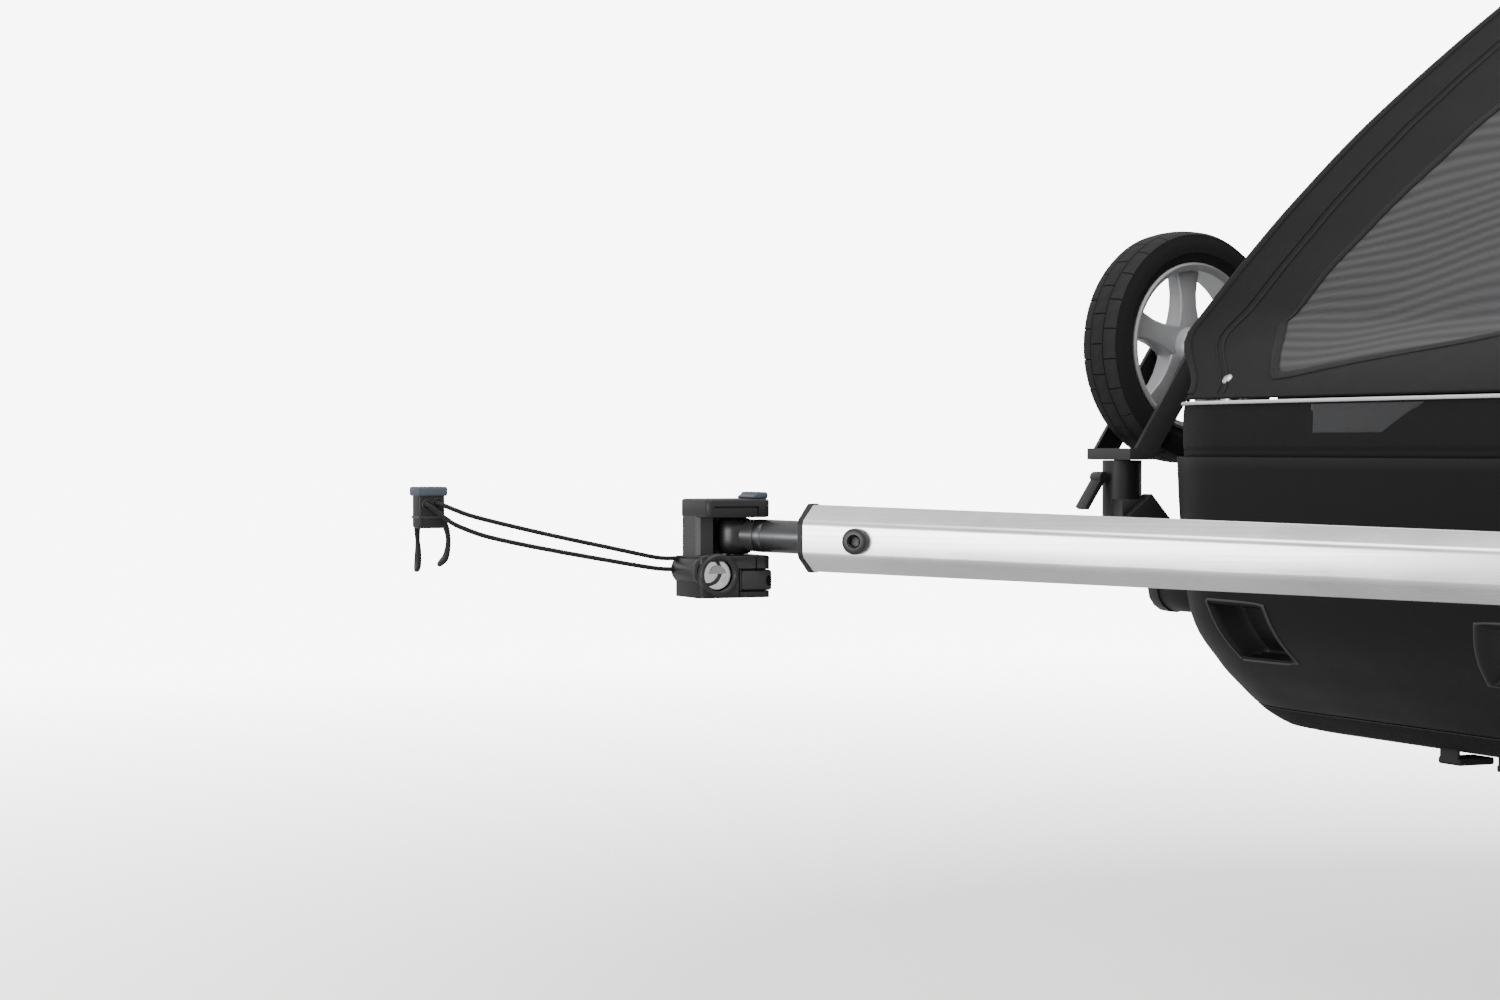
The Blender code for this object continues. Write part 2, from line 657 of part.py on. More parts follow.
def window_outline(grow):
    """Front window in the YZ plane; grow makes the opening larger than the mesh panel."""
    right = [(y + grow, z - grow if i == 0 else z) for i, (y, z) in enumerate(WINDOW)]
    right[-1] = (right[-1][0], right[-1][1] + grow)
    left = [(-y, z) for y, z in reversed(right)]
    return [(0.0, WINDOW_MID_Z - grow)] + right + left


def build_canopy():
    """Folding canopy: its bent tube, front cover with mesh window, and roof panel."""
    centre = canopy_line(sleeve_r())
    side = centre[2:-1]
    rear = centre[-1]
    y = canopy_tube_y()
    half = [Vector((HINGE_X, HINGE_Y, HINGE_Z))] + [Vector((p.x, y, p.y)) for p in side]
    corner = Vector((rear.x, y, rear.y))
    run_in = (corner - half[-1]).normalized()
    bend = []
    for i in range(4):
        angle = math.pi / 2 * i / 3
        bend.append(corner - run_in * REAR_CORNER_R * (1 - math.sin(angle))
                    + Vector((0, -REAR_CORNER_R * (1 - math.cos(angle)), 0)))
    right = half + bend
    left = [Vector((p.x, -p.y, p.z)) for p in reversed(right)]
    frame = add("canopy_frame", tube(right + left, TUBE_R), "aluminium", (HINGE_X, 0, HINGE_Z))
    top = upright_top()
    for sign in (1, -1):
        low, high = HINGE_Y - TUBE_R + 0.0005, HINGE_Y + TUBE_R - 0.0005
        join(frame, cylinder((HINGE_X, sign * low, HINGE_Z), (HINGE_X, sign * high, HINGE_Z), HINGE_EYE_R))
        cut(frame, cylinder((HINGE_X, sign * (low - 0.01), HINGE_Z), (HINGE_X, sign * (high + 0.01), HINGE_Z), HINGE_PIN_R + PIVOT_GAP))
        join(frame, cylinder((top.x, sign * y, top.y), (top.x, sign * (upright_y() - UPRIGHT_R - 0.001), top.y), UPRIGHT_PIN_R, 16))
    pivot = (HINGE_X, 0, HINGE_Z)
    cover = add("front_cover", cover_sheet(CANOPY[0][0], COVER_END_X), "dark_fabric", pivot)
    cut(cover, prism(window_outline(GAP), "X", -0.30, COVER_END_X + 0.05))
    panel = add("front_mesh", cover_sheet(CANOPY[0][0], COVER_END_X, 0.0002, MESH_T), "mesh_fabric", pivot)
    tool(panel, prism(window_outline(-GAP), "X", -0.30, COVER_END_X + 0.05), "INTERSECT")
    add("roof_panel", cover_sheet(COVER_END_X + 2 * GAP, CANOPY[-1][0] - REAR_CORNER_R - 0.012), "dark_fabric", pivot)


def upright_top():
    """Hinge of the rear uprights on the canopy tube, in the XZ plane."""
    line = canopy_line(sleeve_r())
    return Vector((UPRIGHT_TOP_X, height_on(line, UPRIGHT_TOP_X)))


def build_upright(name):
    """Rear upright: tube with an eye at the top and a foot held in the tub's catch."""
    top = upright_top()
    y = upright_y()
    foot = Vector((UPRIGHT_FOOT[0], y, UPRIGHT_FOOT[1]))
    head = Vector((top.x, y, top.y))
    tube_top = head + (foot - head).normalized() * 0.004
    post = add(name, cylinder(foot, tube_top, UPRIGHT_R, 16), "aluminium", head)
    join(post, cylinder((top.x, y - UPRIGHT_R + 0.0008, top.y), (top.x, y + UPRIGHT_R - 0.0008, top.y), UPRIGHT_EYE_R))
    cut(post, cylinder((top.x, y - 0.02, top.y), (top.x, y + 0.02, top.y), UPRIGHT_PIN_R + PIVOT_GAP, 16))
    return post


def build_nose_bar():
    """Fixed bar inside the nose whose stub pins carry the canopy's hinge."""
    inner = HINGE_Y - TUBE_R
    bar = add("nose_bar", cylinder((HINGE_X, -inner + GAP, HINGE_Z), (HINGE_X, inner - GAP, HINGE_Z), NOSE_BAR_R), "dark_metal")
    join(bar, cylinder((HINGE_X, -inner - 2 * TUBE_R, HINGE_Z), (HINGE_X, inner + 2 * TUBE_R, HINGE_Z), HINGE_PIN_R, 16))
    for y in (-NOSE_STRUT_Y, NOSE_STRUT_Y):
        join(bar, box((NOSE_STRUT_X, y - 0.012, TUB_RIM_Z - 0.040), (HINGE_X + 0.004, y + 0.012, TUB_RIM_Z - 0.001)),
             box((HINGE_X - 0.006, y - 0.011, TUB_RIM_Z - 0.010), (HINGE_X + 0.003, y + 0.011, HINGE_Z)))


def side_outline(inset):
    """Side fabric in the XZ plane: tub rim, canopy line and rear upright."""
    line = canopy_line(sleeve_r() * 2 + 0.002)
    top = upright_top()
    low_z = TUB_RIM_Z + 0.0015 + inset
    points = [(SKIRT_BACK_X + 0.003, low_z)]
    points += [(p.x, p.y) for p in line if SKIRT_BACK_X + 0.02 < p.x < top.x - 0.02]
    points += [(top.x + 0.010, top.y - 0.034), (UPRIGHT_FOOT[0] + 0.012, low_z)]
    return points


def build_side_panel(name):
    """Side fabric with a clear window sewn in: one closed sheet."""
    outer = CANOPY_HALF_W
    panel = add(name, prism(side_outline(0.0), "Y", outer - SIDE_T, outer), "dark_fabric")
    return panel


def build_rear_panel():
    """Rear fabric between the uprights."""
    top = upright_top()
    foot = UPRIGHT_FOOT
    y = upright_y() - UPRIGHT_R - GAP
    outline = ((foot[0] - 0.001, TUB_RIM_Z + 0.002), (foot[0] + 0.001, TUB_RIM_Z + 0.002),
               (top.x + 0.002, top.y - 0.030), (top.x, top.y - 0.030))
    add("rear_panel", prism(outline, "Y", -y, y), "dark_fabric")


def build_seats():
    """Bench, two backrests and two harnesses."""
    (front, rear), low = SEAT_X, TUB_FLOOR_Z + TUB_WALL + GAP
    under = SEAT_TOP_Z - BENCH_T
    outline = ((front, low), (front + BENCH_FRONT_T, low), (front + BENCH_FRONT_T, under), (rear, under),
               (rear, SEAT_TOP_Z), (front, SEAT_TOP_Z))
    bench = bmesh.new()
    bench.from_mesh(prism(outline, "Y", -SEAT_HALF_W, SEAT_HALF_W))
    upper = [edge for edge in bench.edges if min(vert.co.z for vert in edge.verts) > under - GAP and edge.calc_face_angle() > 0]
    bmesh.ops.bevel(bench, geom=upper, offset=BENCH_EDGE_R, segments=2, affect="EDGES", profile=0.5)
    add("seat_bench", to_mesh(bench), "seat_fabric")


def back_line(offset, z):
    """X of the backrest's front face at one height, moved forwards."""
    share = (z - SEAT_TOP_Z) / (BACK_TOP_Z - SEAT_TOP_Z)
    return BACK_BASE_X + (BACK_TOP_X - BACK_BASE_X) * share - offset - BACK_T


def build_back(name):
    low, high = TUB_FLOOR_Z + 0.060, BACK_TOP_Z
    outline = ((back_line(0, low), low), (back_line(-BACK_T, low), low),
               (back_line(-BACK_T, high), high), (back_line(0, high), high))
    mesh = prism(outline, "Y", 0.006, SEAT_HALF_W - 0.004)
    bm = bmesh.new()
    bm.from_mesh(mesh)
    bmesh.ops.bevel(bm, geom=bm.edges[:], offset=0.010, segments=2, affect="EDGES", profile=0.5)
    return add(name, to_mesh(bm), "seat_fabric")


def build_harness(name):
    """Harness webbing sewn as one piece: shoulder, lap and crotch straps, with the buckle on it."""
    middle = SEAT_HALF_W / 2
    low, high = SEAT_TOP_Z + 0.060, BACK_TOP_Z - 0.110
    inner, outer, lap, stem = 0.034, 0.060, 0.095, BELT_W / 2
    half = ((stem, SEAT_TOP_Z + 0.016), (stem, low), (lap, low), (lap, low + BELT_W), (outer, low + BELT_W),
            (outer, high), (inner, high), (inner, low + BELT_W))
    outline = [(middle + y, z) for y, z in half] + [(middle - y, z) for y, z in reversed(half)]
    webbing = prism(outline, "X", -BELT_T, 0.0)
    buckle = box((-0.014, middle - 0.022, low - 0.014), (-0.0005, middle + 0.022, low + 0.040), 0.002)
    for mesh in (webbing, buckle):
        for vert in mesh.vertices:
            vert.co.x += back_line(GAP, vert.co.z)
    straps = add(name, webbing, "black_plastic")
    join(straps, buckle)
    return straps


def canopy_rear():
    """Centre of the canopy's rear cross tube, in the XZ plane."""
    return canopy_line(sleeve_r())[-1]


def build_handlebar():
    """Push handlebar on two hubs round the canopy's rear tube, its grip and release button."""
    rear = canopy_rear()
    pivot = (rear.x, 0, rear.y)
    bar_x, bar_z = rear.x + HANDLE_REACH, rear.y + HANDLE_RISE
    y = (HANDLE_HUB_Y[0] + HANDLE_HUB_Y[1]) / 2
    start_x = rear.x + HANDLE_HUB_R - 0.003
    path = rounded_path(((start_x, -y, rear.y), (bar_x, -y, bar_z), (bar_x, y, bar_z), (start_x, y, rear.y)), 0.045)
    bar = add("handlebar", tube(path, HANDLE_R), "aluminium", pivot)
    for side in (1, -1):
        join(bar, cylinder((rear.x, side * HANDLE_HUB_Y[0], rear.y), (rear.x, side * HANDLE_HUB_Y[1], rear.y), HANDLE_HUB_R))
        cut(bar, cylinder((rear.x, side * (HANDLE_HUB_Y[0] - 0.01), rear.y), (rear.x, side * (HANDLE_HUB_Y[1] + 0.01), rear.y), TUBE_R + PIVOT_GAP))
    profile = ((GRIP_R, -GRIP_HALF_L), (GRIP_R, GRIP_HALF_L), (HANDLE_R + GAP, GRIP_HALF_L), (HANDLE_R + GAP, -GRIP_HALF_L))
    grip = add("handle_grip", turned(profile, (bar_x, 0, bar_z), (0, 1, 0), 12), "grip_foam", pivot)
    length, width, height = HANDLE_BUTTON
    out = bar_x - GRIP_R - 0.004
    deep = out + length + HANDLE_BUTTON_TRAVEL + GAP
    cut(grip, box((out - 0.01, -width / 2 - GAP, bar_z - height / 2 - GAP), (deep, width / 2 + GAP, bar_z + height / 2 + GAP)))
    cut(bar, box((out - 0.01, -width / 2 - GAP, bar_z - height / 2 - GAP), (deep, width / 2 + GAP, bar_z + height / 2 + GAP)))
    add("handle_button", box((out, -width / 2, bar_z - height / 2), (out + length, width / 2, bar_z + height / 2), 0.001),
        "blue_grey", (out, 0, bar_z))


def build_axle_frame():
    """Welded axle frame: side plates, cross tube under the floor, and the stub axles."""
    tube_z = TUB_FLOOR_Z - GAP - CROSS_R
    inner = TUB_HALF_W + GAP
    plate_top, plate_low = PLATE_Z[1], PLATE_Z[0]
    frame = add("axle_frame", cylinder((AXLE_X, -inner - PLATE_T / 2, tube_z), (AXLE_X, inner + PLATE_T / 2, tube_z), CROSS_R), "aluminium")
    for side in (1, -1):
        ys = sorted((side * inner, side * (inner + PLATE_T)))
        hub_in = WHEEL_Y - HUB_HALF_L
        join(frame, box((AXLE_X - PLATE_HALF_L, ys[0], plate_low), (AXLE_X + PLATE_HALF_L, ys[1], plate_top)),
             cylinder((AXLE_X, side * (inner + PLATE_T / 2), TYRE_R), (AXLE_X, side * (hub_in - GAP), TYRE_R), AXLE_SHOULDER_R),
             cylinder((AXLE_X, side * (hub_in - 0.004), TYRE_R), (AXLE_X, side * (WHEEL_Y + HUB_HALF_L - RELEASE_L), TYRE_R), AXLE_R))
        x, z = BRAKE_PIN_AT
        boss_end = inner + PLATE_T + 0.012
        join(frame, cylinder((x, side * (inner + PLATE_T / 2), z), (x, side * boss_end, z), 0.009, 16))
        cut(frame, cylinder((x, side * (inner + 0.0015), z), (x, side * (boss_end + 0.01), z), BRAKE_PIN_R + PIVOT_GAP, 16))


def build_brake_pin(name):
    """Brake pin that slides outwards towards the wheel's hub."""
    x, z = BRAKE_PIN_AT
    low = TUB_HALF_W + GAP + 0.0018
    high = WHEEL_Y - HUB_HALF_L - BRAKE_TRAVEL - 0.0006
    return add(name, cylinder((x, low, z), (x, high, z), BRAKE_PIN_R, 16), "dark_metal", (x, low, z))


def build_wheel(name):
    """Spoked wheel: hub with two flanges, spokes and rim."""
    centre = Vector((AXLE_X, WHEEL_Y, TYRE_R))
    bore = AXLE_R + PIVOT_GAP
    end, flange = HUB_HALF_L, HUB_HALF_L - 0.004
    seat = RELEASE_R + GAP
    profile = ((bore, -end), (HUB_R, -end), (HUB_R, -flange), (HUB_FLANGE_R, -flange), (HUB_FLANGE_R, -flange + HUB_FLANGE_T),
               (HUB_R, -flange + HUB_FLANGE_T), (HUB_R, flange - HUB_FLANGE_T), (HUB_FLANGE_R, flange - HUB_FLANGE_T),
               (HUB_FLANGE_R, flange), (HUB_R, flange), (HUB_R, end), (seat, end), (seat, end - RELEASE_L - 0.001),
               (bore, end - RELEASE_L - 0.001))
    wheel = add(name, turned(profile, centre, (0, 1, 0), 16), "aluminium", centre)
    half = RIM_W / 2
    rim = ((RIM_R, -half), (RIM_R, half), (RIM_R - RIM_DEPTH, 0.4 * half), (RIM_R - RIM_DEPTH, -0.4 * half))
    join(wheel, turned(rim, centre, (0, 1, 0), 32))
    spokes = bmesh.new()
    for i in range(SPOKES):
        angle = math.tau * (i + 0.5) / SPOKES
        out = Vector((math.cos(angle), 0, math.sin(angle)))
        offset = Vector((0, (1 if i % 2 else -1) * (flange - HUB_FLANGE_T / 2), 0))
        spokes.from_mesh(cylinder(centre + out * (HUB_FLANGE_R - 0.004) + offset, centre + out * (RIM_R - RIM_DEPTH + 0.003), SPOKE_R, 4))
    mesh = bpy.data.meshes.new("spokes")
    spokes.to_mesh(mesh)
    spokes.free()
    join(wheel, mesh)
    return wheel


def build_tyre(name):
    """Road tyre: a ring over the rim, rounded at the tread."""
    centre = Vector((AXLE_X, WHEEL_Y, TYRE_R))
    half = TYRE_W / 2
    seat = RIM_R + GAP
    tread = ((seat, -0.6 * half), (TYRE_R - 0.022, -half), (TYRE_R - 0.007, -0.70 * half), (TYRE_R, -0.25 * half),
             (TYRE_R, 0.25 * half), (TYRE_R - 0.007, 0.70 * half), (TYRE_R - 0.022, half), (seat, 0.6 * half))
    return add(name, turned(tread, centre, (0, 1, 0), 32), "rubber", centre)


def build_release(name):
    """Quick-release button in the end of the hub."""
    end = WHEEL_Y + HUB_HALF_L
    low = end - RELEASE_L + RELEASE_TRAVEL + GAP
    return add(name, cylinder((AXLE_X, low, TYRE_R), (AXLE_X, end + 0.0035, TYRE_R), RELEASE_R), "black_plastic",
               (AXLE_X, low, TYRE_R))


def caster_pivot_z():
    """Height of the stroller arm's pivot: halfway, so that half a turn sets the wheel on the ground."""
    return (CASTER_Z + CASTER_R) / 2


def caster_head():
    """Foot of the caster's swivel axis, ahead of the wheel."""
    back = Vector((math.cos(CASTER_TOE), math.sin(CASTER_TOE), 0)) * CASTER_TRAIL
    return Vector((CASTER_X, CASTER_Y, CASTER_HOUSING_Z[1])) - back


def toed(mesh):
    """Turn a shape built straight ahead about the caster's swivel axis."""
    head = caster_head()
    mesh.transform(Matrix.Translation(head) @ Matrix.Rotation(CASTER_TOE, 4, "Z") @ Matrix.Translation(-head))
    return mesh


def build_caster_arm(name):
    """Arm from the nose pivot up to the swivel housing."""
    head = caster_head()
    z = caster_pivot_z()
    x = CASTER_PIVOT_X
    low, high = CASTER_EYE_Y
    arm = add(name, cylinder((x, low, z), (x, high, z), CASTER_EYE_R), "black_plastic", (x, 0, z))
    outline = ((x + CASTER_EYE_R - 0.002, z), (x + 0.002, z + 0.040), (head.x + 0.010, CASTER_HOUSING_Z[0] + 0.020),
               (head.x - 0.010, CASTER_HOUSING_Z[0] + 0.004), (x - CASTER_EYE_R + 0.002, z))
    join(arm, prism(outline, "Y", low, high),
         box((head.x - 0.012, low + 0.004, CASTER_HOUSING_Z[0] - 0.004), (head.x + 0.012, head.y + 0.004, CASTER_HOUSING_Z[0] + 0.016)),
         cylinder((head.x, head.y, CASTER_HOUSING_Z[0]), head, CASTER_HOUSING_R))
    cut(arm, cylinder((x, low - 0.01, z), (x, high + 0.01, z), CASTER_PIVOT_R + PIVOT_GAP),
        cylinder((head.x, head.y, CASTER_HOUSING_Z[0] + 0.012), (head.x, head.y, head.z + 0.01), CASTER_STEM_R + PIVOT_GAP, 16))
    return arm


def build_caster_fork(name):
    """Caster fork: stem, crown, two legs and the wheel's axle."""
    head = caster_head()
    hub = Vector((head.x + CASTER_TRAIL, head.y, CASTER_Z))
    crown_low = head.z + GAP
    half = CASTER_W / 2 + 0.0012
    outer = half + CASTER_LEG_T
    rear_x = head.x + 0.010
    crown = toed(box((head.x - 0.013, head.y - outer, crown_low), (rear_x, head.y + outer, crown_low + CASTER_CROWN_T)))
    fork = add(name, crown, "black_plastic", (head.x, head.y, head.z))
    leg = ((head.x - 0.012, crown_low + 0.001), (rear_x, crown_low + 0.001), (hub.x + 0.009, hub.z - 0.004),
           (hub.x + 0.004, hub.z + 0.009), (hub.x - 0.009, hub.z + 0.004))
    for side in (1, -1):
        ys = sorted((head.y + side * half, head.y + side * outer))
        join(fork, toed(prism(leg, "Y", *ys)))
    join(fork, cylinder((head.x, head.y, CASTER_HOUSING_Z[0] + 0.0125), (head.x, head.y, crown_low + 0.002), CASTER_STEM_R, 16),
         toed(cylinder((hub.x, head.y - outer + 0.0004, hub.z), (hub.x, head.y + outer - 0.0004, hub.z), CASTER_AXLE_R, 16)))
    return fork


def caster_axis():
    return Vector((-math.sin(CASTER_TOE), math.cos(CASTER_TOE), 0))


def build_caster_rim(name):
    """Stroller wheel's open five-spoke rim."""
    centre = Vector((CASTER_X, CASTER_Y, CASTER_Z))
    half = CASTER_W / 2 - 0.004
    bore = CASTER_AXLE_R + PIVOT_GAP
    hub = ((bore, -half - 0.003), (0.012, -half - 0.003), (0.012, half + 0.003), (bore, half + 0.003))
    rim = add(name, turned(hub, centre, caster_axis(), 16), "aluminium", centre)
    ring = ((CASTER_RIM_R, -half), (CASTER_RIM_R, half), (CASTER_RIM_R - CASTER_RIM_T, half), (CASTER_RIM_R - CASTER_RIM_T, -half))
    join(rim, turned(ring, centre, caster_axis(), 24))
    turn = Matrix.Rotation(CASTER_TOE, 3, "Z")
    for i in range(CASTER_SPOKES):
        angle = math.tau * (i + 0.25) / CASTER_SPOKES
        out = turn @ Vector((math.cos(angle), 0, math.sin(angle)))
        join(rim, cylinder(centre + out * 0.010, centre + out * (CASTER_RIM_R - CASTER_RIM_T + 0.003), 0.0045, 6))
    return rim


def build_caster_tyre(name):
    centre = Vector((CASTER_X, CASTER_Y, CASTER_Z))
    half = CASTER_W / 2
    seat = CASTER_RIM_R + GAP
    tread = ((seat, -0.75 * half), (CASTER_R - 0.008, -half), (CASTER_R, -0.6 * half),
             (CASTER_R, 0.6 * half), (CASTER_R - 0.008, half), (seat, 0.75 * half))
    return add(name, turned(tread, centre, caster_axis(), 24), "rubber", centre)


def build_caster_lever(name):
    """Swivel-lock lever hinged on the front of the housing."""
    head = caster_head()
    width, length, thick = CASTER_LEVER
    pivot = Vector((head.x - CASTER_HOUSING_R - 0.0045, head.y, CASTER_HOUSING_Z[1] - 0.012))
    lever = add(name, cylinder((pivot.x, pivot.y - width / 2, pivot.z), (pivot.x, pivot.y + width / 2, pivot.z), 0.004, 16), "black_plastic", pivot)
    bar = box((pivot.x - length, pivot.y - width / 2, pivot.z - thick / 2), (pivot.x, pivot.y + width / 2, pivot.z + thick / 2))
    turn = Matrix.Translation(pivot) @ Matrix.Rotation(math.radians(-57), 4, "Y") @ Matrix.Translation(-pivot)
    bar.transform(turn)
    join(lever, bar)
    return lever


def arm_run():
    """Unit vector along the arm's front part."""
    flat = Vector((math.cos(ARM_HEADING), math.sin(ARM_HEADING), 0))
    return (flat + Vector((0, 0, ARM_SLOPE))).normalized()


def arm_path():
    """Centre line of the tow arm: diagonal front part, bend, straight tail."""
    run = arm_run()
    corner = ARM_FRONT + run * ((ARM_SIDE_Y - ARM_FRONT.y) / run.y)
    tail = Vector((ARM_TAIL_X, ARM_SIDE_Y, corner.z))
    return rounded_path((ARM_FRONT, corner, tail), ARM_BEND_R, ARM_BEND_STEPS)


def arm_section(grow=0.0):
    """Eight-sided section of the arm as (sideways, up) points."""
    depth, height, flat = ARM_DEPTH / 2 + grow, ARM_HEIGHT / 2 + grow, ARM_FLAT / 2 + 0.41 * grow
    top = depth - (ARM_HEIGHT - ARM_FLAT) * 0.85
    return ((depth, -flat), (depth, flat), (top, height), (-top, height),
            (-depth, flat), (-depth, -flat), (-top, -height), (top, -height))


def sweep(path, section):
    """Section carried along a level path, kept upright."""
    rings = []
    for i, point in enumerate(path):
        before, after = path[max(i - 1, 0)], path[min(i + 1, len(path) - 1)]
        run = (after - before)
        side = Vector((run.y, -run.x, 0)).normalized()
        rings.append([point + side * u + Vector((0, 0, v)) for u, v in section])
    return loft(rings)


def near_side():
    """Horizontal unit vector square to the arm's front part, on its outer side."""
    run = arm_run()
    return Vector((run.y, -run.x, 0)).normalized()


def build_arm():
    """Tow arm, its black end cap and the bolt that holds the roll rod."""
    path = arm_path()
    run, side = arm_run(), near_side()
    arm = add("tow_arm", sweep(path, arm_section()), "aluminium", path[0])
    bolt_at = ARM_FRONT + run * ARM_BOLT_IN
    face = side * (ARM_DEPTH / 2)
    rod_end = ARM_FRONT + run * 0.045
    cut(arm, cylinder(ARM_FRONT - run * 0.01, rod_end, ROD_R + PIVOT_GAP),
        cylinder(bolt_at + face * 1.5, bolt_at, ARM_BOLT_R * 0.6 + GAP, 16))
    hollow = [ARM_FRONT + run * ARM_PLUG] + path[1:-1] + [path[-1] + Vector((0.01, 0, 0))]
    cut(arm, sweep(hollow, arm_section(-ARM_WALL)))
    start_at = ARM_FRONT - run * (ARM_CAP_T + GAP)
    cap = add("arm_end_cap", sweep((start_at, ARM_FRONT - run * GAP), arm_section(ARM_CAP_LIP)), "black_plastic")
    cut(cap, cylinder(start_at - run * 0.01, ARM_FRONT + run * 0.01, ROD_R + PIVOT_GAP))
    bolt = add("arm_bolt", cylinder(bolt_at + face + side * GAP, bolt_at + face + side * (GAP + ARM_BOLT_HEAD), ARM_BOLT_R), "dark_metal")
    join(bolt, cylinder(bolt_at + side * (ROD_R + 0.0008), bolt_at + face + side * 0.001, ARM_BOLT_R * 0.6, 16))
    socket_out = bolt_at + face + side * (GAP + ARM_BOLT_HEAD + 0.001)
    cut(bolt, cylinder(socket_out, socket_out - side * 0.004, ARM_SOCKET_R, 6))


def arm_level():
    return arm_path()[-1].z


def arm_ring(x, grow):
    """The arm's section at one place along its straight tail."""
    return [Vector((x, ARM_SIDE_Y + u, arm_level() + v)) for u, v in arm_section(grow)]


def build_receiver():
    """Receiver sleeve for the arm's tail, reaching inboard and back to the axle frame."""
    z = arm_level()
    x0, x1 = RECEIVER_X
    outside = SLIDE_GAP + RECEIVER_WALL
    receiver = add("arm_receiver", loft([arm_ring(x0, outside), arm_ring(x1, outside)]), "black_plastic")
    web_x = ARM_TAIL_X + 0.007
    sleeve_in = ARM_SIDE_Y + ARM_DEPTH / 2 + outside
    plate_y = -(TUB_HALF_W + GAP + PLATE_T + GAP)
    plate_t = RECEIVER_PLATE_T
    join(receiver, box((web_x, sleeve_in - 0.006, z - 0.016), (x1, plate_y - 0.001, z + 0.004)),
         box((web_x, plate_y - plate_t, z - 0.024), (RECEIVER_PLATE_END_X, plate_y, z + 0.004)))
    cut(receiver, loft([arm_ring(x0 - 0.01, SLIDE_GAP), arm_ring(ARM_TAIL_X + 0.003, SLIDE_GAP)]))
    pin_x = (x0 + ARM_TAIL_X) / 2
    cut(receiver, cylinder((pin_x, ARM_SIDE_Y, z + ARM_HEIGHT / 2 - 0.002), (pin_x, ARM_SIDE_Y, z + 0.04), LOCK_PIN_R + PIVOT_GAP, 16))
    pin_low = z + ARM_HEIGHT / 2 + GAP
    knob_low = z + ARM_HEIGHT / 2 + outside + GAP
    pin = add("arm_lock_pin", cylinder((pin_x, ARM_SIDE_Y, pin_low), (pin_x, ARM_SIDE_Y, knob_low + 0.004), LOCK_PIN_R, 16),
              "black_plastic", (pin_x, ARM_SIDE_Y, pin_low))
    join(pin, cylinder((pin_x, ARM_SIDE_Y, knob_low), (pin_x, ARM_SIDE_Y, knob_low + LOCK_KNOB_L), LOCK_KNOB_R))


def head_pin_at():
    return ARM_FRONT - arm_run() * PIN_TO_ARM


def build_swivel():
    """Grey roll rod in the arm and the black knuckle on the hitch pin."""
    pin, run = head_pin_at(), arm_run()
    face = pin + run * KNUCKLE_FACE
    add("swivel_rod", cylinder(face, ARM_FRONT + run * ROD_IN, ROD_R, 20), "dark_metal", face)
    knuckle = add("swivel_knuckle", ball(pin, KNUCKLE_R, 16), "black_plastic", pin)
    join(knuckle, cylinder(pin, face - run * GAP, KNUCKLE_NECK_R, 16))
    up = Vector((0, 0, 0.02))
    cut(knuckle, cylinder(pin - up, pin + up, HEAD_PIN_R + PIVOT_GAP, 20))


def head_plate(xs, zs):
    """One plate of the head: a rectangle with rounded upright edges."""
    pin = head_pin_at()
    outline = []
    for sx, sy, first in ((0, -1, 180), (1, -1, 270), (1, 1, 0), (0, 1, 90)):
        centre_x = pin.x + xs[sx] + (HEAD_EDGE_R if sx == 0 else -HEAD_EDGE_R)
        centre_y = pin.y + sy * (HEAD_HALF_W - HEAD_EDGE_R)
        for i in range(5):
            angle = math.radians(first + 22.5 * i)
            outline.append((centre_x + HEAD_EDGE_R * math.cos(angle), centre_y + HEAD_EDGE_R * math.sin(angle)))
    return prism(outline, "Z", *zs)


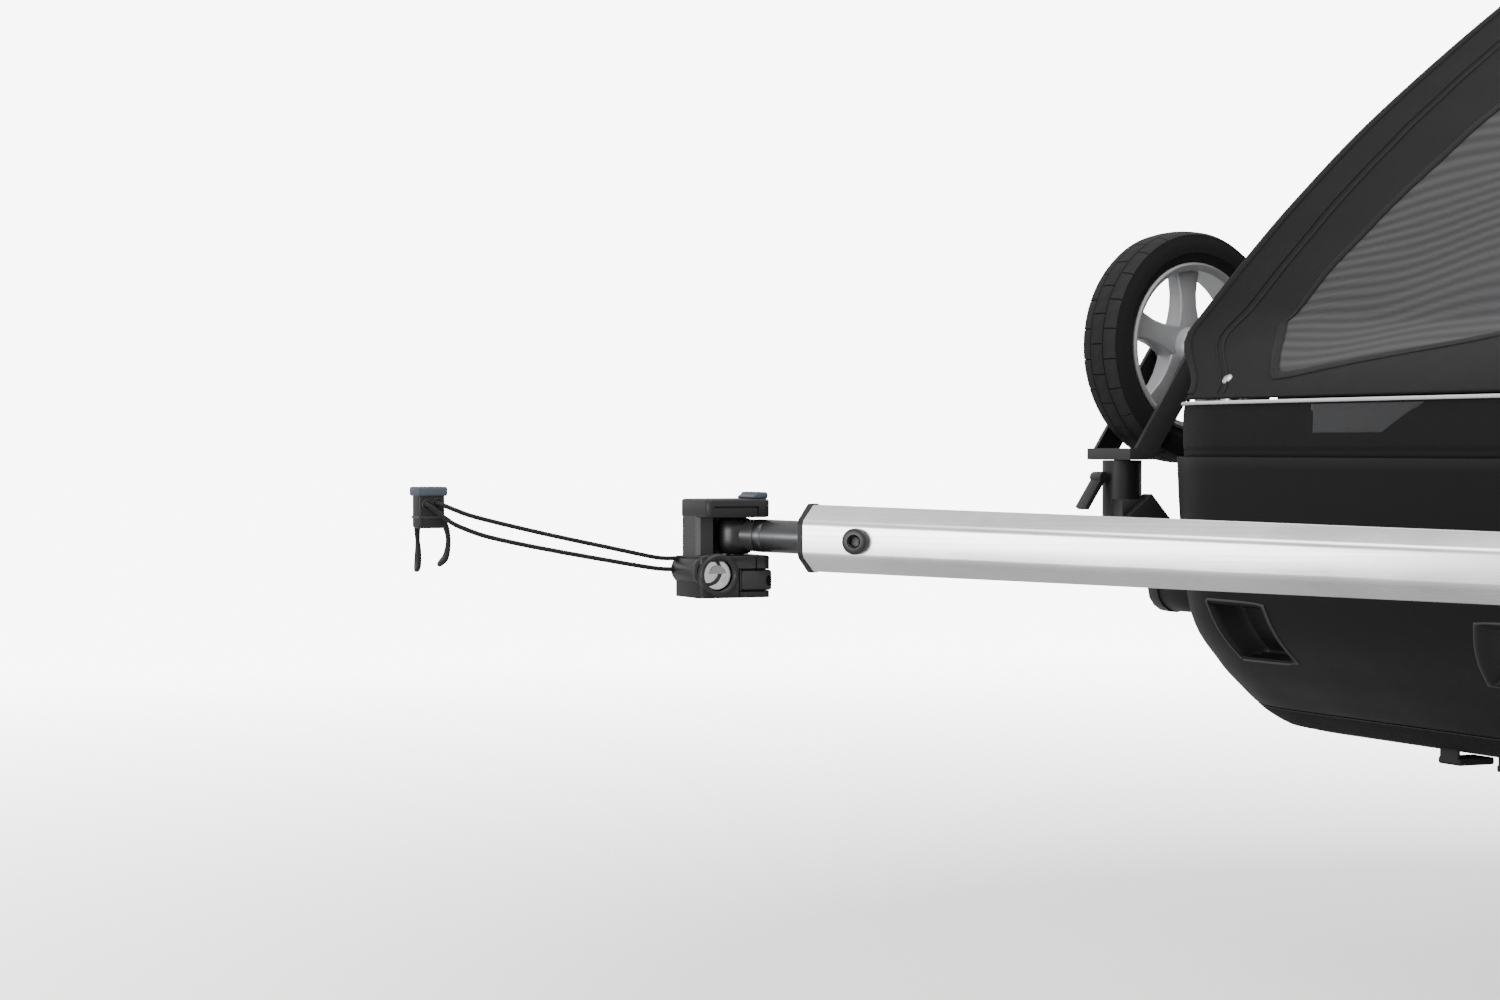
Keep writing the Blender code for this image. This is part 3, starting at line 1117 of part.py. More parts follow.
def build_head():
    """Clevis head on the bicycle's axle, with its cap, lock, latch and pin."""
    pin = head_pin_at()
    half = HEAD_HALF_W
    head = add("hitch_head", head_plate(HEAD_BASE_X, (HEAD_BASE_Z[0], HEAD_TOP_Z[1])), "black_plastic", pin)
    mouth = (HEAD_BASE_Z[1], HEAD_TOP_Z[0])
    left = pin.x + HEAD_BASE_X[0] - 0.01
    cut(head, box((left, pin.y - half - 0.01, mouth[0]), (pin.x + 0.03, pin.y + HEAD_WALL_Y, mouth[1])),
        box((pin.x + HEAD_WALL_X, pin.y + HEAD_WALL_Y - 0.001, mouth[0]), (pin.x + 0.03, pin.y + half + 0.01, mouth[1])),
        box((left, pin.y - half - 0.01, mouth[0]), (pin.x + HEAD_TOP_X[0], pin.y + half + 0.01, HEAD_TOP_Z[1] + 0.01)))
    boss_x, boss_z = pin.x + BOSS_AT[0], BOSS_AT[1]
    join(head, cylinder((boss_x, pin.y - 0.0150, boss_z), (boss_x, pin.y + 0.0150, boss_z), BOSS_R, 24))
    for z in CORD_HEAD_Z:
        cut(head, cylinder((boss_x - 0.001, CORD_HEAD_Y, z), (boss_x - 0.02, CORD_HEAD_Y, z), CORD_HOLE_R, 10))
    cut(head, cylinder((pin.x, pin.y, mouth[0] - 0.008), (pin.x, pin.y, mouth[1] + 0.004), HEAD_PIN_R + PIVOT_GAP, 20))
    face_y = pin.y - half
    lock_x, lock_z = LOCK_AT
    lock_back = face_y + LOCK_RECESS + LOCK_L
    cut(head, cylinder((lock_x, face_y - 0.01, lock_z), (lock_x, lock_back + 2 * GAP, lock_z), LOCK_HOLE_R, 20))
    latch = [pin.x + LATCH_X[0], pin.x + LATCH_X[1]]
    cut(head, box((latch[0] - GAP, face_y - 0.01, LATCH_Z[0] - GAP),
                  (latch[1] + 0.01, face_y + LATCH_T + LATCH_TRAVEL + 2 * GAP, LATCH_Z[1] + GAP)))
    cap = [pin.x + CAP_X[0], pin.x + CAP_X[1]]
    top = HEAD_TOP_Z[1]
    cut(head, box((cap[0] - GAP, pin.y + CAP_Y[0] - GAP, top - CAP_TRAVEL - 2 * GAP),
                  (cap[1] + 0.01, pin.y + CAP_Y[1] + GAP, top + 0.01)))
    add("head_cap", box((cap[0], pin.y + CAP_Y[0], top), (cap[1], pin.y + CAP_Y[1], top + CAP_H), 0.0010),
        "blue_grey", (sum(cap) / 2, pin.y, top))
    lock = add("head_lock", cylinder((lock_x, face_y + LOCK_RECESS, lock_z), (lock_x, lock_back, lock_z), LOCK_R, 20),
               "chrome", (lock_x, face_y, lock_z))
    cut(lock, box((lock_x - 0.0007, face_y - 0.005, lock_z - 0.0035), (lock_x + 0.0007, face_y + LOCK_RECESS + 0.002, lock_z + 0.0035)))
    add("head_latch", box((latch[0], face_y, LATCH_Z[0]), (latch[1], face_y + LATCH_T, LATCH_Z[1]), 0.0012),
        "black_plastic", (latch[0], face_y, LATCH_Z[0]))
    add("head_pin", cylinder((pin.x, pin.y, mouth[0] - 0.0075), (pin.x, pin.y, mouth[1] + 0.0035), HEAD_PIN_R, 20), "dark_metal", pin)


def build_tether():
    """Elastic cord from the head, through its sliding lock, round the loop and back."""
    low, high = BLOCK_AT - BLOCK_SIZE / 2, BLOCK_AT + BLOCK_SIZE / 2
    body = add("tether_block", box(low, high, 0.0012), "black_plastic", BLOCK_AT)
    boss = head_pin_at().x + BOSS_AT[0]
    route = []
    for (hole_x, hole_z), run, start_z in zip(BLOCK_HOLES, (UPPER_RUN, LOWER_RUN), CORD_HEAD_Z):
        start_x = boss - 0.0025
        through = [(hole_x, low.y - 0.0018, hole_z), (hole_x, low.y + 0.001, hole_z), (hole_x, high.y - 0.001, hole_z), (hole_x, high.y + 0.0015, hole_z)]
        head = [(start_x, CORD_HEAD_Y, start_z), (start_x - 0.0100, CORD_HEAD_Y, start_z)]
        route.append([Vector(spot) for spot in head + list(run) + through])
        cut(body, cylinder((hole_x, low.y - 0.01, hole_z), (hole_x, high.y + 0.01, hole_z), CORD_HOLE_R, 10))
    cord = route[0] + [Vector(spot) for spot in TETHER_LOOP] + list(reversed(route[1]))
    add("tether_cord", tube(smooth(cord, 2), CORD_R, 1), "rubber", (boss, CORD_HEAD_Y, CORD_HEAD_Z[0]))
    lip = BLOCK_CAP_LIP
    cap = box((low.x - lip, low.y - lip, high.z + GAP), (high.x + lip, high.y + lip, high.z + GAP + BLOCK_CAP_T), 0.0010)
    add("tether_button", cap, "blue_grey", (BLOCK_AT.x, BLOCK_AT.y, high.z + GAP))


def smooth(points, per_span):
    """Points of a smooth curve through the route's own points."""
    ends = [2 * points[0] - points[1]] + points + [2 * points[-1] - points[-2]]
    line = []
    for a, b, c, d in zip(ends, ends[1:], ends[2:], ends[3:]):
        for i in range(per_span):
            t = i / per_span
            line.append(0.5 * (2 * b + (c - a) * t + (2 * a - 5 * b + 4 * c - d) * t ** 2 + (3 * b - a - 3 * c + d) * t ** 3))
    line.append(points[-1])
    return line


def build_fold_lever(name):
    """Lever outside the tub's ear that frees the upright's foot."""
    x, z = LEVER_PIVOT
    low = TUB_HALF_W + GAP
    lever = add(name, cylinder((x, low, z), (x, low + LEVER_T, z), LEVER_HUB_R), "blue_grey", (x, low, z))
    join(lever, box((x, low, z - 0.008), (x + LEVER_L, low + LEVER_T, z + 0.004), 0.0015))
    cut(lever, cylinder((x, low - 0.01, z), (x, low + 0.02, z), LEVER_PIN_R + PIVOT_GAP, 16))
    return lever


def build_pedal():
    """Foot pedal of the parking brake at the rear."""
    x, z = PEDAL_PIVOT
    pedal = add("brake_pedal", cylinder((x, -PEDAL_HALF_W, z), (x, PEDAL_HALF_W, z), 0.010), "black_plastic", (x, 0, z))
    join(pedal, box((x, -PEDAL_HALF_W, z - PEDAL_T / 2), (x + PEDAL_L, PEDAL_HALF_W, z + PEDAL_T / 2), 0.002))
    for side in (1, -1):
        cut(pedal, cylinder((x, side * (PEDAL_HALF_W - 0.009), z), (x, side * (PEDAL_HALF_W + 0.01), z), PEDAL_PIVOT_R, 16))


def build_all():
    start()
    make_materials()
    build_tub()
    build_strip()
    build_front_band()
    build_nose_bar()
    build_canopy()
    both_sides("upright", build_upright)
    both_sides("side_panel", build_side_panel)
    build_rear_panel()
    build_seats()
    both_sides("backrest", build_back)
    both_sides("harness", build_harness)
    build_handlebar()
    build_axle_frame()
    both_sides("brake_pin", build_brake_pin)
    both_sides("wheel", build_wheel)
    both_sides("tyre", build_tyre)
    both_sides("wheel_button", build_release)
    both_sides("caster_arm", build_caster_arm)
    both_sides("caster_fork", build_caster_fork)
    both_sides("caster_rim", build_caster_rim)
    both_sides("caster_tyre", build_caster_tyre)
    both_sides("caster_lever", build_caster_lever)
    build_arm()
    build_receiver()
    build_swivel()
    build_head()
    build_tether()
    both_sides("fold_lever", build_fold_lever)
    build_pedal()


build_all()
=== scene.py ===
import math

import bmesh
import bpy
from mathutils import Matrix, Vector, noise


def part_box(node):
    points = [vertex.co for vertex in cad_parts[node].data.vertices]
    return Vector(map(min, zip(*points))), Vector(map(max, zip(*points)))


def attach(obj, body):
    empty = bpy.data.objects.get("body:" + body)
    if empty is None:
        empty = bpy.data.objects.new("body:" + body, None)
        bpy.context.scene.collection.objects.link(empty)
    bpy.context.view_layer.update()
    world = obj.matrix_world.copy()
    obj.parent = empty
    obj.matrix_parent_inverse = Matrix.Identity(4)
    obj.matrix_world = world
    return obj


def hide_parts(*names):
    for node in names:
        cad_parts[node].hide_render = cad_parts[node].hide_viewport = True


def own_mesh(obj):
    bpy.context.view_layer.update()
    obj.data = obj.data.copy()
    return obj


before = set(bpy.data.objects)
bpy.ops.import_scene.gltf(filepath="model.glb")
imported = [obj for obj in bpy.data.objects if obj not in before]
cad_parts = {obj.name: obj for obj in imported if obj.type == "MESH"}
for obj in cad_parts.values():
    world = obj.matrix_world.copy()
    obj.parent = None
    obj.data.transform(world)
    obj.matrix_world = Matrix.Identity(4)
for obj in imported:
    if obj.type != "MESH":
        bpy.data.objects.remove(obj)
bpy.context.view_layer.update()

# Camera and studio. The view is from the trailer's front left, low beside the tow arm,
# over a pale floor under soft light from above and from the camera's side. The floor's
# whiteness and its soft shadow round the trailer are painted: it glows for camera rays only,
# less near the trailer.
camera_data = bpy.data.cameras.new("camera")
camera_data.lens = 72.0
camera_data.sensor_width = 36.0
camera = bpy.data.objects.new("camera", camera_data)
camera.location = (-1.301, -1.509, 0.353)
camera.rotation_euler = (math.radians(88.98), 0.0, math.radians(-24.16))
bpy.context.scene.collection.objects.link(camera)
bpy.context.scene.camera = camera


def feed(tree, made, values):
    """Set a node's sockets from values, or link them from other sockets."""
    for key, value in dict(values).items():
        if isinstance(value, bpy.types.NodeSocket):
            tree.links.new(value, made.inputs[key])
        else:
            made.inputs[key].default_value = value
    return made


def node(tree, kind, values=(), **settings):
    """Add a shader node, set its options and feed its sockets."""
    made = tree.nodes.new("ShaderNode" + kind)
    for key, value in settings.items():
        setattr(made, key, value)
    return feed(tree, made, values)


def new_material(name):
    """Material, its node tree and its main shader."""
    mat = bpy.data.materials.new(name)
    mat.use_nodes = True
    return mat, mat.node_tree, mat.node_tree.nodes["Principled BSDF"]


def sums(tree, operation, *values):
    """Result of a Math node."""
    return node(tree, "Math", enumerate(values), operation=operation).outputs[0]


def blended(tree, share, first, second):
    """Colour between two colours."""
    return node(tree, "Mix", {0: share, 6: first, 7: second}, data_type="RGBA").outputs[2]


def spread(tree, value, low, high, to_low=0.0, to_high=1.0):
    """Number moved from one range to another, and kept inside it."""
    return node(tree, "MapRange", {0: value, 1: low, 2: high, 3: to_low, 4: to_high}).outputs[0]


world = bpy.data.worlds.new("studio")
world.use_nodes = True
backdrop = world.node_tree.nodes["Background"]
seen = node(world.node_tree, "LightPath").outputs["Is Camera Ray"]
feed(world.node_tree, backdrop, {"Color": (1.0, 1.0, 1.0, 1.0),
                                 "Strength": spread(world.node_tree, seen, 0.0, 1.0, 0.95, 8.0)})
bpy.context.scene.world = world

LAMPS = (("overhead", (-0.7, -0.6, 2.6), (-0.2, 0.0, 0.3), 34.0, (1.8, 1.8)),
         ("beside", (-2.95, -0.98, 0.46), (-0.45, -0.3, 0.3), 26.0, (1.5, 0.62)),
         ("rear", (2.2, 2.4, 1.9), (0.3, 0.0, 0.5), 20.0, (1.8, 1.8)))
for label, spot, target, power, size in LAMPS:
    lamp = bpy.data.lights.new(label, "AREA")
    lamp.energy = power
    lamp.shape = "RECTANGLE"
    lamp.size, lamp.size_y = size
    holder = bpy.data.objects.new(label, lamp)
    holder.location = spot
    holder.rotation_euler = (Vector(target) - Vector(spot)).to_track_quat("-Z", "Y").to_euler()
    holder.visible_camera = False
    bpy.context.scene.collection.objects.link(holder)

floor_bm = bmesh.new()
bmesh.ops.create_circle(floor_bm, cap_ends=True, segments=64, radius=30.0)
floor_mesh = bpy.data.meshes.new("floor")
floor_bm.to_mesh(floor_mesh)
floor_bm.free()
floor = bpy.data.objects.new("floor", floor_mesh)
floor_paint, floor_tree, floor_shader = new_material("floor_paint")
# Painted light and shade: the floor glows for camera rays only, weakly within 0.6 m of the trailer's middle
# and strongly from 3.1 m out, which paints a soft shadow round the trailer.
away = node(floor_tree, "VectorMath", {0: node(floor_tree, "TexCoord").outputs["Object"]},
            operation="LENGTH").outputs["Value"]
painted_floor_light = spread(floor_tree, away, 0.6, 3.1, 1.2, 7.6)
floor_seen = node(floor_tree, "LightPath").outputs["Is Camera Ray"]
feed(floor_tree, floor_shader, {"Base Color": (0.44, 0.44, 0.44, 1.0), "Roughness": 0.8,
                                "Emission Color": (1.0, 1.0, 1.0, 1.0),
                                "Emission Strength": sums(floor_tree, "MULTIPLY", painted_floor_light, floor_seen)})
floor_mesh.materials.append(floor_paint)
bpy.context.scene.collection.objects.link(floor)


# Tether cord: one length of black elastic cord in a woven sheath, 2.4 mm thick.
# It leaves the hitch head, passes its lock, goes round in a loop and comes back to the head.
def new_group(label, inputs, outputs):
    """Shader node group with named sockets."""
    tree = bpy.data.node_groups.new(label, "ShaderNodeTree")
    for name, kind, value in inputs:
        socket = tree.interface.new_socket(name, in_out="INPUT", socket_type="NodeSocket" + kind)
        if value is not None:
            socket.default_value = value
    for name, kind in outputs:
        tree.interface.new_socket(name, in_out="OUTPUT", socket_type="NodeSocket" + kind)
    return tree, tree.nodes.new("NodeGroupInput"), tree.nodes.new("NodeGroupOutput")


def make_woven():
    """Over-and-under threads, with soft creases and faded patches, on coordinates in metres."""
    tree, given, result = new_group(
        "woven_cloth",
        (("Vector", "Vector", None), ("Colour", "Color", (0.05, 0.05, 0.05, 1)), ("Thread", "Float", 0.0008),
         ("Depth", "Float", 0.0002), ("Crease", "Float", 0.002), ("Roughness", "Float", 0.85)),
        (("Colour", "Color"), ("Roughness", "Float"), ("Normal", "Vector")))
    split = node(tree, "SeparateXYZ", {0: given.outputs["Vector"]})
    turn = sums(tree, "DIVIDE", math.tau, given.outputs["Thread"])
    warp = sums(tree, "SINE", sums(tree, "MULTIPLY", split.outputs[0], turn))
    weft = sums(tree, "SINE", sums(tree, "MULTIPLY", split.outputs[1], turn))
    threads = sums(tree, "MULTIPLY_ADD", sums(tree, "MULTIPLY", warp, weft), 0.5, 0.5)
    place = node(tree, "TexCoord").outputs["Object"]
    crease = node(tree, "TexNoise", {"Vector": place, "Scale": 16.0, "Detail": 3.0,
                                     "Distortion": 0.6}).outputs[0]
    fuzz = node(tree, "TexNoise", {"Vector": place, "Scale": 900.0, "Detail": 2.0}).outputs[0]
    patches = node(tree, "TexNoise", {"Vector": place, "Scale": 5.0, "Detail": 4.0}).outputs[0]
    shade = sums(tree, "MULTIPLY", spread(tree, threads, 0.0, 1.0, 0.80, 1.16),
                 spread(tree, patches, 0.3, 0.7, 0.90, 1.10))
    shade = sums(tree, "MULTIPLY", shade, spread(tree, fuzz, 0.3, 0.7, 0.88, 1.12))
    colour = node(tree, "VectorMath", {0: given.outputs["Colour"], "Scale": shade},
                  operation="SCALE").outputs[0]
    folds = node(tree, "Bump", {"Strength": 0.6, "Distance": given.outputs["Crease"], "Height": crease})
    raised = node(tree, "Bump", {"Strength": 0.9, "Distance": given.outputs["Depth"],
                                 "Height": sums(tree, "MULTIPLY_ADD", fuzz, 0.4, threads),
                                 "Normal": folds.outputs[0]})
    rough = sums(tree, "MULTIPLY_ADD", sums(tree, "SUBTRACT", patches, 0.5), 0.25, given.outputs["Roughness"])
    feed(tree, result, {"Colour": colour, "Roughness": rough, "Normal": raised.outputs[0]})
    return tree


WOVEN = make_woven()


def cloth(name, colour, thread, depth=0.00018, crease=0.002, roughness=0.85, on_map=True, sheen=0.25,
          specular=0.15):
    """Cloth whose threads follow the piece's own map, or its place where it has no map."""
    mat, tree, shader = new_material(name)
    if on_map:
        vector = node(tree, "TexCoord").outputs["UV"]
    else:
        spot = node(tree, "SeparateXYZ", {0: node(tree, "TexCoord").outputs["Object"]})
        upward = sums(tree, "ADD", spot.outputs[0], spot.outputs[2])
        vector = node(tree, "CombineXYZ", {0: spot.outputs[1], 1: upward}).outputs[0]
    weave = node(tree, "Group", {"Vector": vector, "Colour": (*colour, 1), "Thread": thread, "Depth": depth,
                                 "Crease": crease, "Roughness": roughness}, node_tree=WOVEN).outputs
    feed(tree, shader, {"Base Color": weave["Colour"], "Roughness": weave["Roughness"],
                        "Normal": weave["Normal"],
                        "Sheen Weight": sheen, "Sheen Roughness": 0.4, "Specular IOR Level": specular})
    return mat


HEAD_BOSS_X, HEAD_BOSS_Y = -0.68571, -0.0564
UPPER_START_Z, LOWER_START_Z = 0.2945, 0.2888
UPPER_RUN = ((-0.7074, -0.0580, 0.2957), (-0.7309, -0.0622, 0.3005), (-0.7558, -0.0666, 0.3055),
             (-0.7797, -0.0709, 0.3106), (-0.7991, -0.0743, 0.3150), (-0.8127, -0.0767, 0.3184),
             (-0.8211, -0.0782, 0.3213))
LOWER_RUN = ((-0.7104, -0.0586, 0.2903), (-0.7345, -0.0628, 0.2944), (-0.7611, -0.0676, 0.2991),
             (-0.7843, -0.0717, 0.3035), (-0.8037, -0.0751, 0.3078), (-0.8161, -0.0773, 0.3119),
             (-0.8239, -0.0787, 0.3155))
TETHER_LOOP = ((-0.8235, -0.0595, 0.3209), (-0.8190, -0.0590, 0.3120), (-0.8182, -0.0592, 0.3037),
               (-0.8195, -0.0598, 0.2965), (-0.8215, -0.0570, 0.2935), (-0.8200, -0.0500, 0.2935),
               (-0.8135, -0.0400, 0.2977), (-0.8110, -0.0365, 0.3066), (-0.8150, -0.0355, 0.3167),
               (-0.8210, -0.0350, 0.3197), (-0.8262, -0.0355, 0.3132), (-0.8275, -0.0370, 0.3019),
               (-0.8300, -0.0430, 0.2941), (-0.8333, -0.0530, 0.2906), (-0.8336, -0.0580, 0.2924),
               (-0.8338, -0.0592, 0.2995), (-0.8348, -0.0590, 0.3084), (-0.8355, -0.0595, 0.3185))
LOCK_HOLES = ((-0.8289, 0.3246), (-0.8344, 0.3239))
LOCK_FRONT_Y, LOCK_BACK_Y = -0.0741, -0.0627
CORD_D = 0.0024


def eased(points, spans):
    """Points of a smooth line through a route's own points."""
    ends = [2 * points[0] - points[1]] + points + [2 * points[-1] - points[-2]]
    line = []
    for a, b, c, d in zip(ends, ends[1:], ends[2:], ends[3:]):
        for i in range(spans):
            t = i / spans
            line.append(0.5 * (2 * b + (c - a) * t + (2 * a - 5 * b + 4 * c - d) * t ** 2
                               + (3 * b - a - 3 * c + d) * t ** 3))
    return line + [points[-1]]


def cord_half(hole, run, start_z):
    """Cord from the head to behind one hole of the lock."""
    x, z = hole
    start = [(HEAD_BOSS_X - 0.0025, HEAD_BOSS_Y, start_z), (HEAD_BOSS_X - 0.0125, HEAD_BOSS_Y, start_z)]
    through = [(x, LOCK_FRONT_Y - 0.0018, z), (x, LOCK_FRONT_Y + 0.001, z), (x, LOCK_BACK_Y - 0.001, z),
               (x, LOCK_BACK_Y + 0.0015, z)]
    return [Vector(spot) for spot in (*start, *run, *through)]


cord_route = cord_half(LOCK_HOLES[0], UPPER_RUN, UPPER_START_Z) + [Vector(spot) for spot in TETHER_LOOP]
cord_route += list(reversed(cord_half(LOCK_HOLES[1], LOWER_RUN, LOWER_START_Z)))
cord_line = eased(cord_route, 4)
cord_curve = bpy.data.curves.new("tether_line", "CURVE")
cord_curve.dimensions = "3D"
cord_curve.bevel_depth = CORD_D / 2
cord_curve.bevel_resolution = 3
cord_curve.use_fill_caps = True
cord_spline = cord_curve.splines.new("POLY")
cord_spline.points.add(len(cord_line) - 1)
for slot_point, spot in zip(cord_spline.points, cord_line):
    slot_point.co = (*spot, 1.0)
cord_spline.use_smooth = True
sheath = cloth("woven_sheath", (0.012, 0.012, 0.013), 0.0009, 0.0002, 0.0, 0.6, on_map=False, sheen=0.1,
               specular=0.35)
cord_curve.materials.append(sheath)
tether = bpy.data.objects.new("tether_line", cord_curve)
bpy.context.scene.collection.objects.link(tether)
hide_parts("tether_cord")
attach(tether, "tether")


# Tether lock: moulded two-hole block that the cord is threaded through, with a rim round
# each hole and a draft line half way up. Its blue-grey button caps it and stands proud all round.
def make_moulded():
    """Fine moulding grain, uneven gloss, rubbed edges and a little dust in the hollows."""
    tree, given, result = new_group(
        "moulded_finish",
        (("Colour", "Color", (0.05, 0.05, 0.05, 1)), ("Roughness", "Float", 0.5), ("Grain", "Float", 900.0),
         ("Depth", "Float", 0.0001), ("Wear", "Float", 0.5)),
        (("Colour", "Color"), ("Roughness", "Float"), ("Normal", "Vector")))
    place = node(tree, "TexCoord").outputs["Object"]
    grain = node(tree, "TexNoise", {"Vector": place, "Scale": given.outputs["Grain"],
                                    "Detail": 3.0}).outputs[0]
    patches = node(tree, "TexNoise", {"Vector": place, "Scale": 11.0, "Detail": 4.0,
                                      "Roughness": 0.6}).outputs[0]
    edge = node(tree, "NewGeometry").outputs["Pointiness"]
    rubbed = sums(tree, "MULTIPLY", spread(tree, edge, 0.52, 0.60), given.outputs["Wear"])
    dusty = sums(tree, "MULTIPLY", spread(tree, edge, 0.48, 0.42), 0.10)
    shade = spread(tree, patches, 0.3, 0.7, 0.90, 1.12)
    scaled = node(tree, "VectorMath", {0: given.outputs["Colour"], "Scale": shade}, operation="SCALE")
    worn = blended(tree, sums(tree, "MULTIPLY", rubbed, 0.35), scaled.outputs[0], (0.30, 0.30, 0.30, 1))
    colour = blended(tree, dusty, worn, (0.22, 0.21, 0.20, 1))
    rough = sums(tree, "MULTIPLY_ADD", sums(tree, "SUBTRACT", patches, 0.5), 0.22, given.outputs["Roughness"])
    rough = sums(tree, "MULTIPLY_ADD", rubbed, -0.12, rough)
    raised = node(tree, "Bump", {"Strength": 0.7, "Distance": given.outputs["Depth"], "Height": grain})
    feed(tree, result, {"Colour": colour, "Roughness": rough, "Normal": raised.outputs[0]})
    return tree


MOULDED = make_moulded()


def hard(name, colour, roughness, grain=900.0, depth=0.0001, wear=0.5, metallic=0.0, specular=0.5, coat=0.0):
    """Hard finish: moulded plastic, rubber, paint or metal."""
    mat, tree, shader = new_material(name)
    finish = node(tree, "Group", {"Colour": (*colour, 1), "Roughness": roughness, "Grain": grain,
                                  "Depth": depth, "Wear": wear}, node_tree=MOULDED).outputs
    feed(tree, shader, {"Base Color": finish["Colour"], "Roughness": finish["Roughness"],
                        "Normal": finish["Normal"],
                        "Metallic": metallic, "Specular IOR Level": specular, "Coat Weight": coat,
                        "Coat Roughness": 0.2})
    return mat


def piece(name, bm, mat, body=None, nodes=(), angle=35.0):
    """Finish a bmesh as a piece that rides on a body and stands for its CAD solids."""
    mesh = bpy.data.meshes.new(name)
    bm.to_mesh(mesh)
    bm.free()
    mesh.materials.append(mat)
    mesh.shade_smooth()
    mesh.set_sharp_from_angle(angle=math.radians(angle))
    obj = bpy.data.objects.new(name, mesh)
    bpy.context.scene.collection.objects.link(obj)
    if nodes:
        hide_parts(*nodes)
    if body:
        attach(obj, body)
    return obj


def block(low, high, edge=0.0, steps=3):
    """Rounded box between two corners."""
    low, high = Vector(low), Vector(high)
    bm = bmesh.new()
    shape = Matrix.Translation((low + high) / 2) @ Matrix.Diagonal((*(high - low), 1.0))
    bmesh.ops.create_cube(bm, size=1.0, matrix=shape)
    if edge:
        bmesh.ops.bevel(bm, geom=bm.edges[:], offset=edge, segments=steps, affect="EDGES", profile=0.5,
                        material=-1)
    return bm


def turned(profile, centre, axis, steps=48, closed=True):
    """Shape spun about an axis from (radius, distance along the axis) points."""
    axis, centre = Vector(axis).normalized(), Vector(centre)
    side = axis.orthogonal().normalized()
    bm = bmesh.new()
    verts = [bm.verts.new(centre + side * radius + axis * offset) for radius, offset in profile]
    pairs = list(zip(verts, verts[1:]))
    if closed:
        pairs.append((verts[-1], verts[0]))
    edges = [bm.edges.new(pair) for pair in pairs]
    bmesh.ops.spin(bm, geom=verts + edges, cent=centre, axis=axis, dvec=(0, 0, 0), angle=math.tau,
                   steps=steps, use_merge=True, use_normal_flip=False, use_duplicate=False)
    bmesh.ops.remove_doubles(bm, verts=bm.verts, dist=0.000001)
    bmesh.ops.recalc_face_normals(bm, faces=bm.faces)
    return bm


def together(*parts):
    """Several bmeshes as one."""
    whole = bmesh.new()
    for part in parts:
        held = bpy.data.meshes.new("held")
        part.to_mesh(held)
        part.free()
        whole.from_mesh(held)
        bpy.data.meshes.remove(held)
    return whole


def soften(bm, sharp, offset, steps):
    """Round the edges at which a solid turns by more than an angle."""
    keen = [e for e in bm.edges if len(e.link_faces) == 2 and e.calc_face_angle() > math.radians(sharp)]
    bmesh.ops.bevel(bm, geom=keen, offset=offset, segments=steps, affect="EDGES", profile=0.5, material=-1,
                    clamp_overlap=True)


def from_cad(node_name, edge=0.0006, steps=2, sharp=28.0):
    """Copy of a CAD solid with its loose triangles merged and its edges rounded."""
    bm = bmesh.new()
    bm.from_mesh(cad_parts[node_name].data)
    bmesh.ops.remove_doubles(bm, verts=bm.verts, dist=0.00001)
    bmesh.ops.dissolve_limit(bm, angle_limit=math.radians(0.5), verts=bm.verts, edges=bm.edges,
                             use_dissolve_boundaries=False, delimit=set())
    if edge:
        soften(bm, sharp, edge, steps)
    bmesh.ops.triangulate(bm, faces=[f for f in bm.faces if len(f.verts) > 4])
    return bm


def shaft(start, end, radius, sides=32, edge=0.0):
    """Closed round bar between two points, its ends eased."""
    start, end = Vector(start), Vector(end)
    length = (end - start).length
    edge = min(edge, radius * 0.5, length * 0.4)
    profile = [(0.0, 0.0), (radius - edge, 0.0), (radius - edge * 0.3, edge * 0.3), (radius, edge),
               (radius, length - edge),
               (radius - edge * 0.3, length - edge * 0.3), (radius - edge, length), (0.0, length)]
    if not edge:
        profile = [(0.0, 0.0), (radius, 0.0), (radius, length), (0.0, length)]
    return turned(profile, start, end - start, sides, closed=False)


black_plastic = hard("black_plastic", (0.0105, 0.0105, 0.0115), 0.40, 1100.0, 0.00006, 0.35, specular=0.30)
blue_grey = hard("blue_grey_plastic", (0.055, 0.072, 0.092), 0.45, 1100.0, 0.00005, 0.4, specular=0.4)
block_low, block_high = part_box("tether_block")
lock_body = block(block_low, block_high, 0.0013, 4)
rims = [turned(((0.00195, 0.0), (0.0026, 0.0), (0.0027, -0.0005), (0.0024, -0.0008), (0.0020, -0.0006)),
               (x, block_low.y, z), (0, 1, 0), 24) for x, z in LOCK_HOLES]
draft = block((block_low.x - 0.0003, block_low.y - 0.0003, block_low.z + 0.0050),
              (block_high.x + 0.0003, block_high.y + 0.0003, block_low.z + 0.0062), 0.0002, 1)
tether_lock = piece("tether_lock_body", together(lock_body, draft, *rims), black_plastic,
                    "tether", ("tether_block",))
cap_low, cap_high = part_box("tether_button")
cap_top = block(cap_low - Vector((0, 0, 0.0019)), cap_high, 0.0011, 3)
cap_pad = block((cap_low.x + 0.003, cap_low.y + 0.003, cap_high.z - 0.0004),
                (cap_high.x - 0.003, cap_high.y - 0.003, cap_high.z), 0.0002, 1)
tether_cap = piece("tether_lock_cap", together(cap_top, cap_pad), blue_grey, "cord_button",
                   ("tether_button",))


# Hitch head: black moulded clevis that clamps to the bicycle's axle. Its mouth is a round
# pocket for the knuckle, closed behind; a boss takes the cord, and a lock and latch sit below.
PIN_X, PIN_Y = -0.66331, -0.06844
FACE_Y, BACK_Y = PIN_Y - 0.0180, PIN_Y + 0.0180
MOUTH_Z = (0.2963, 0.3161)


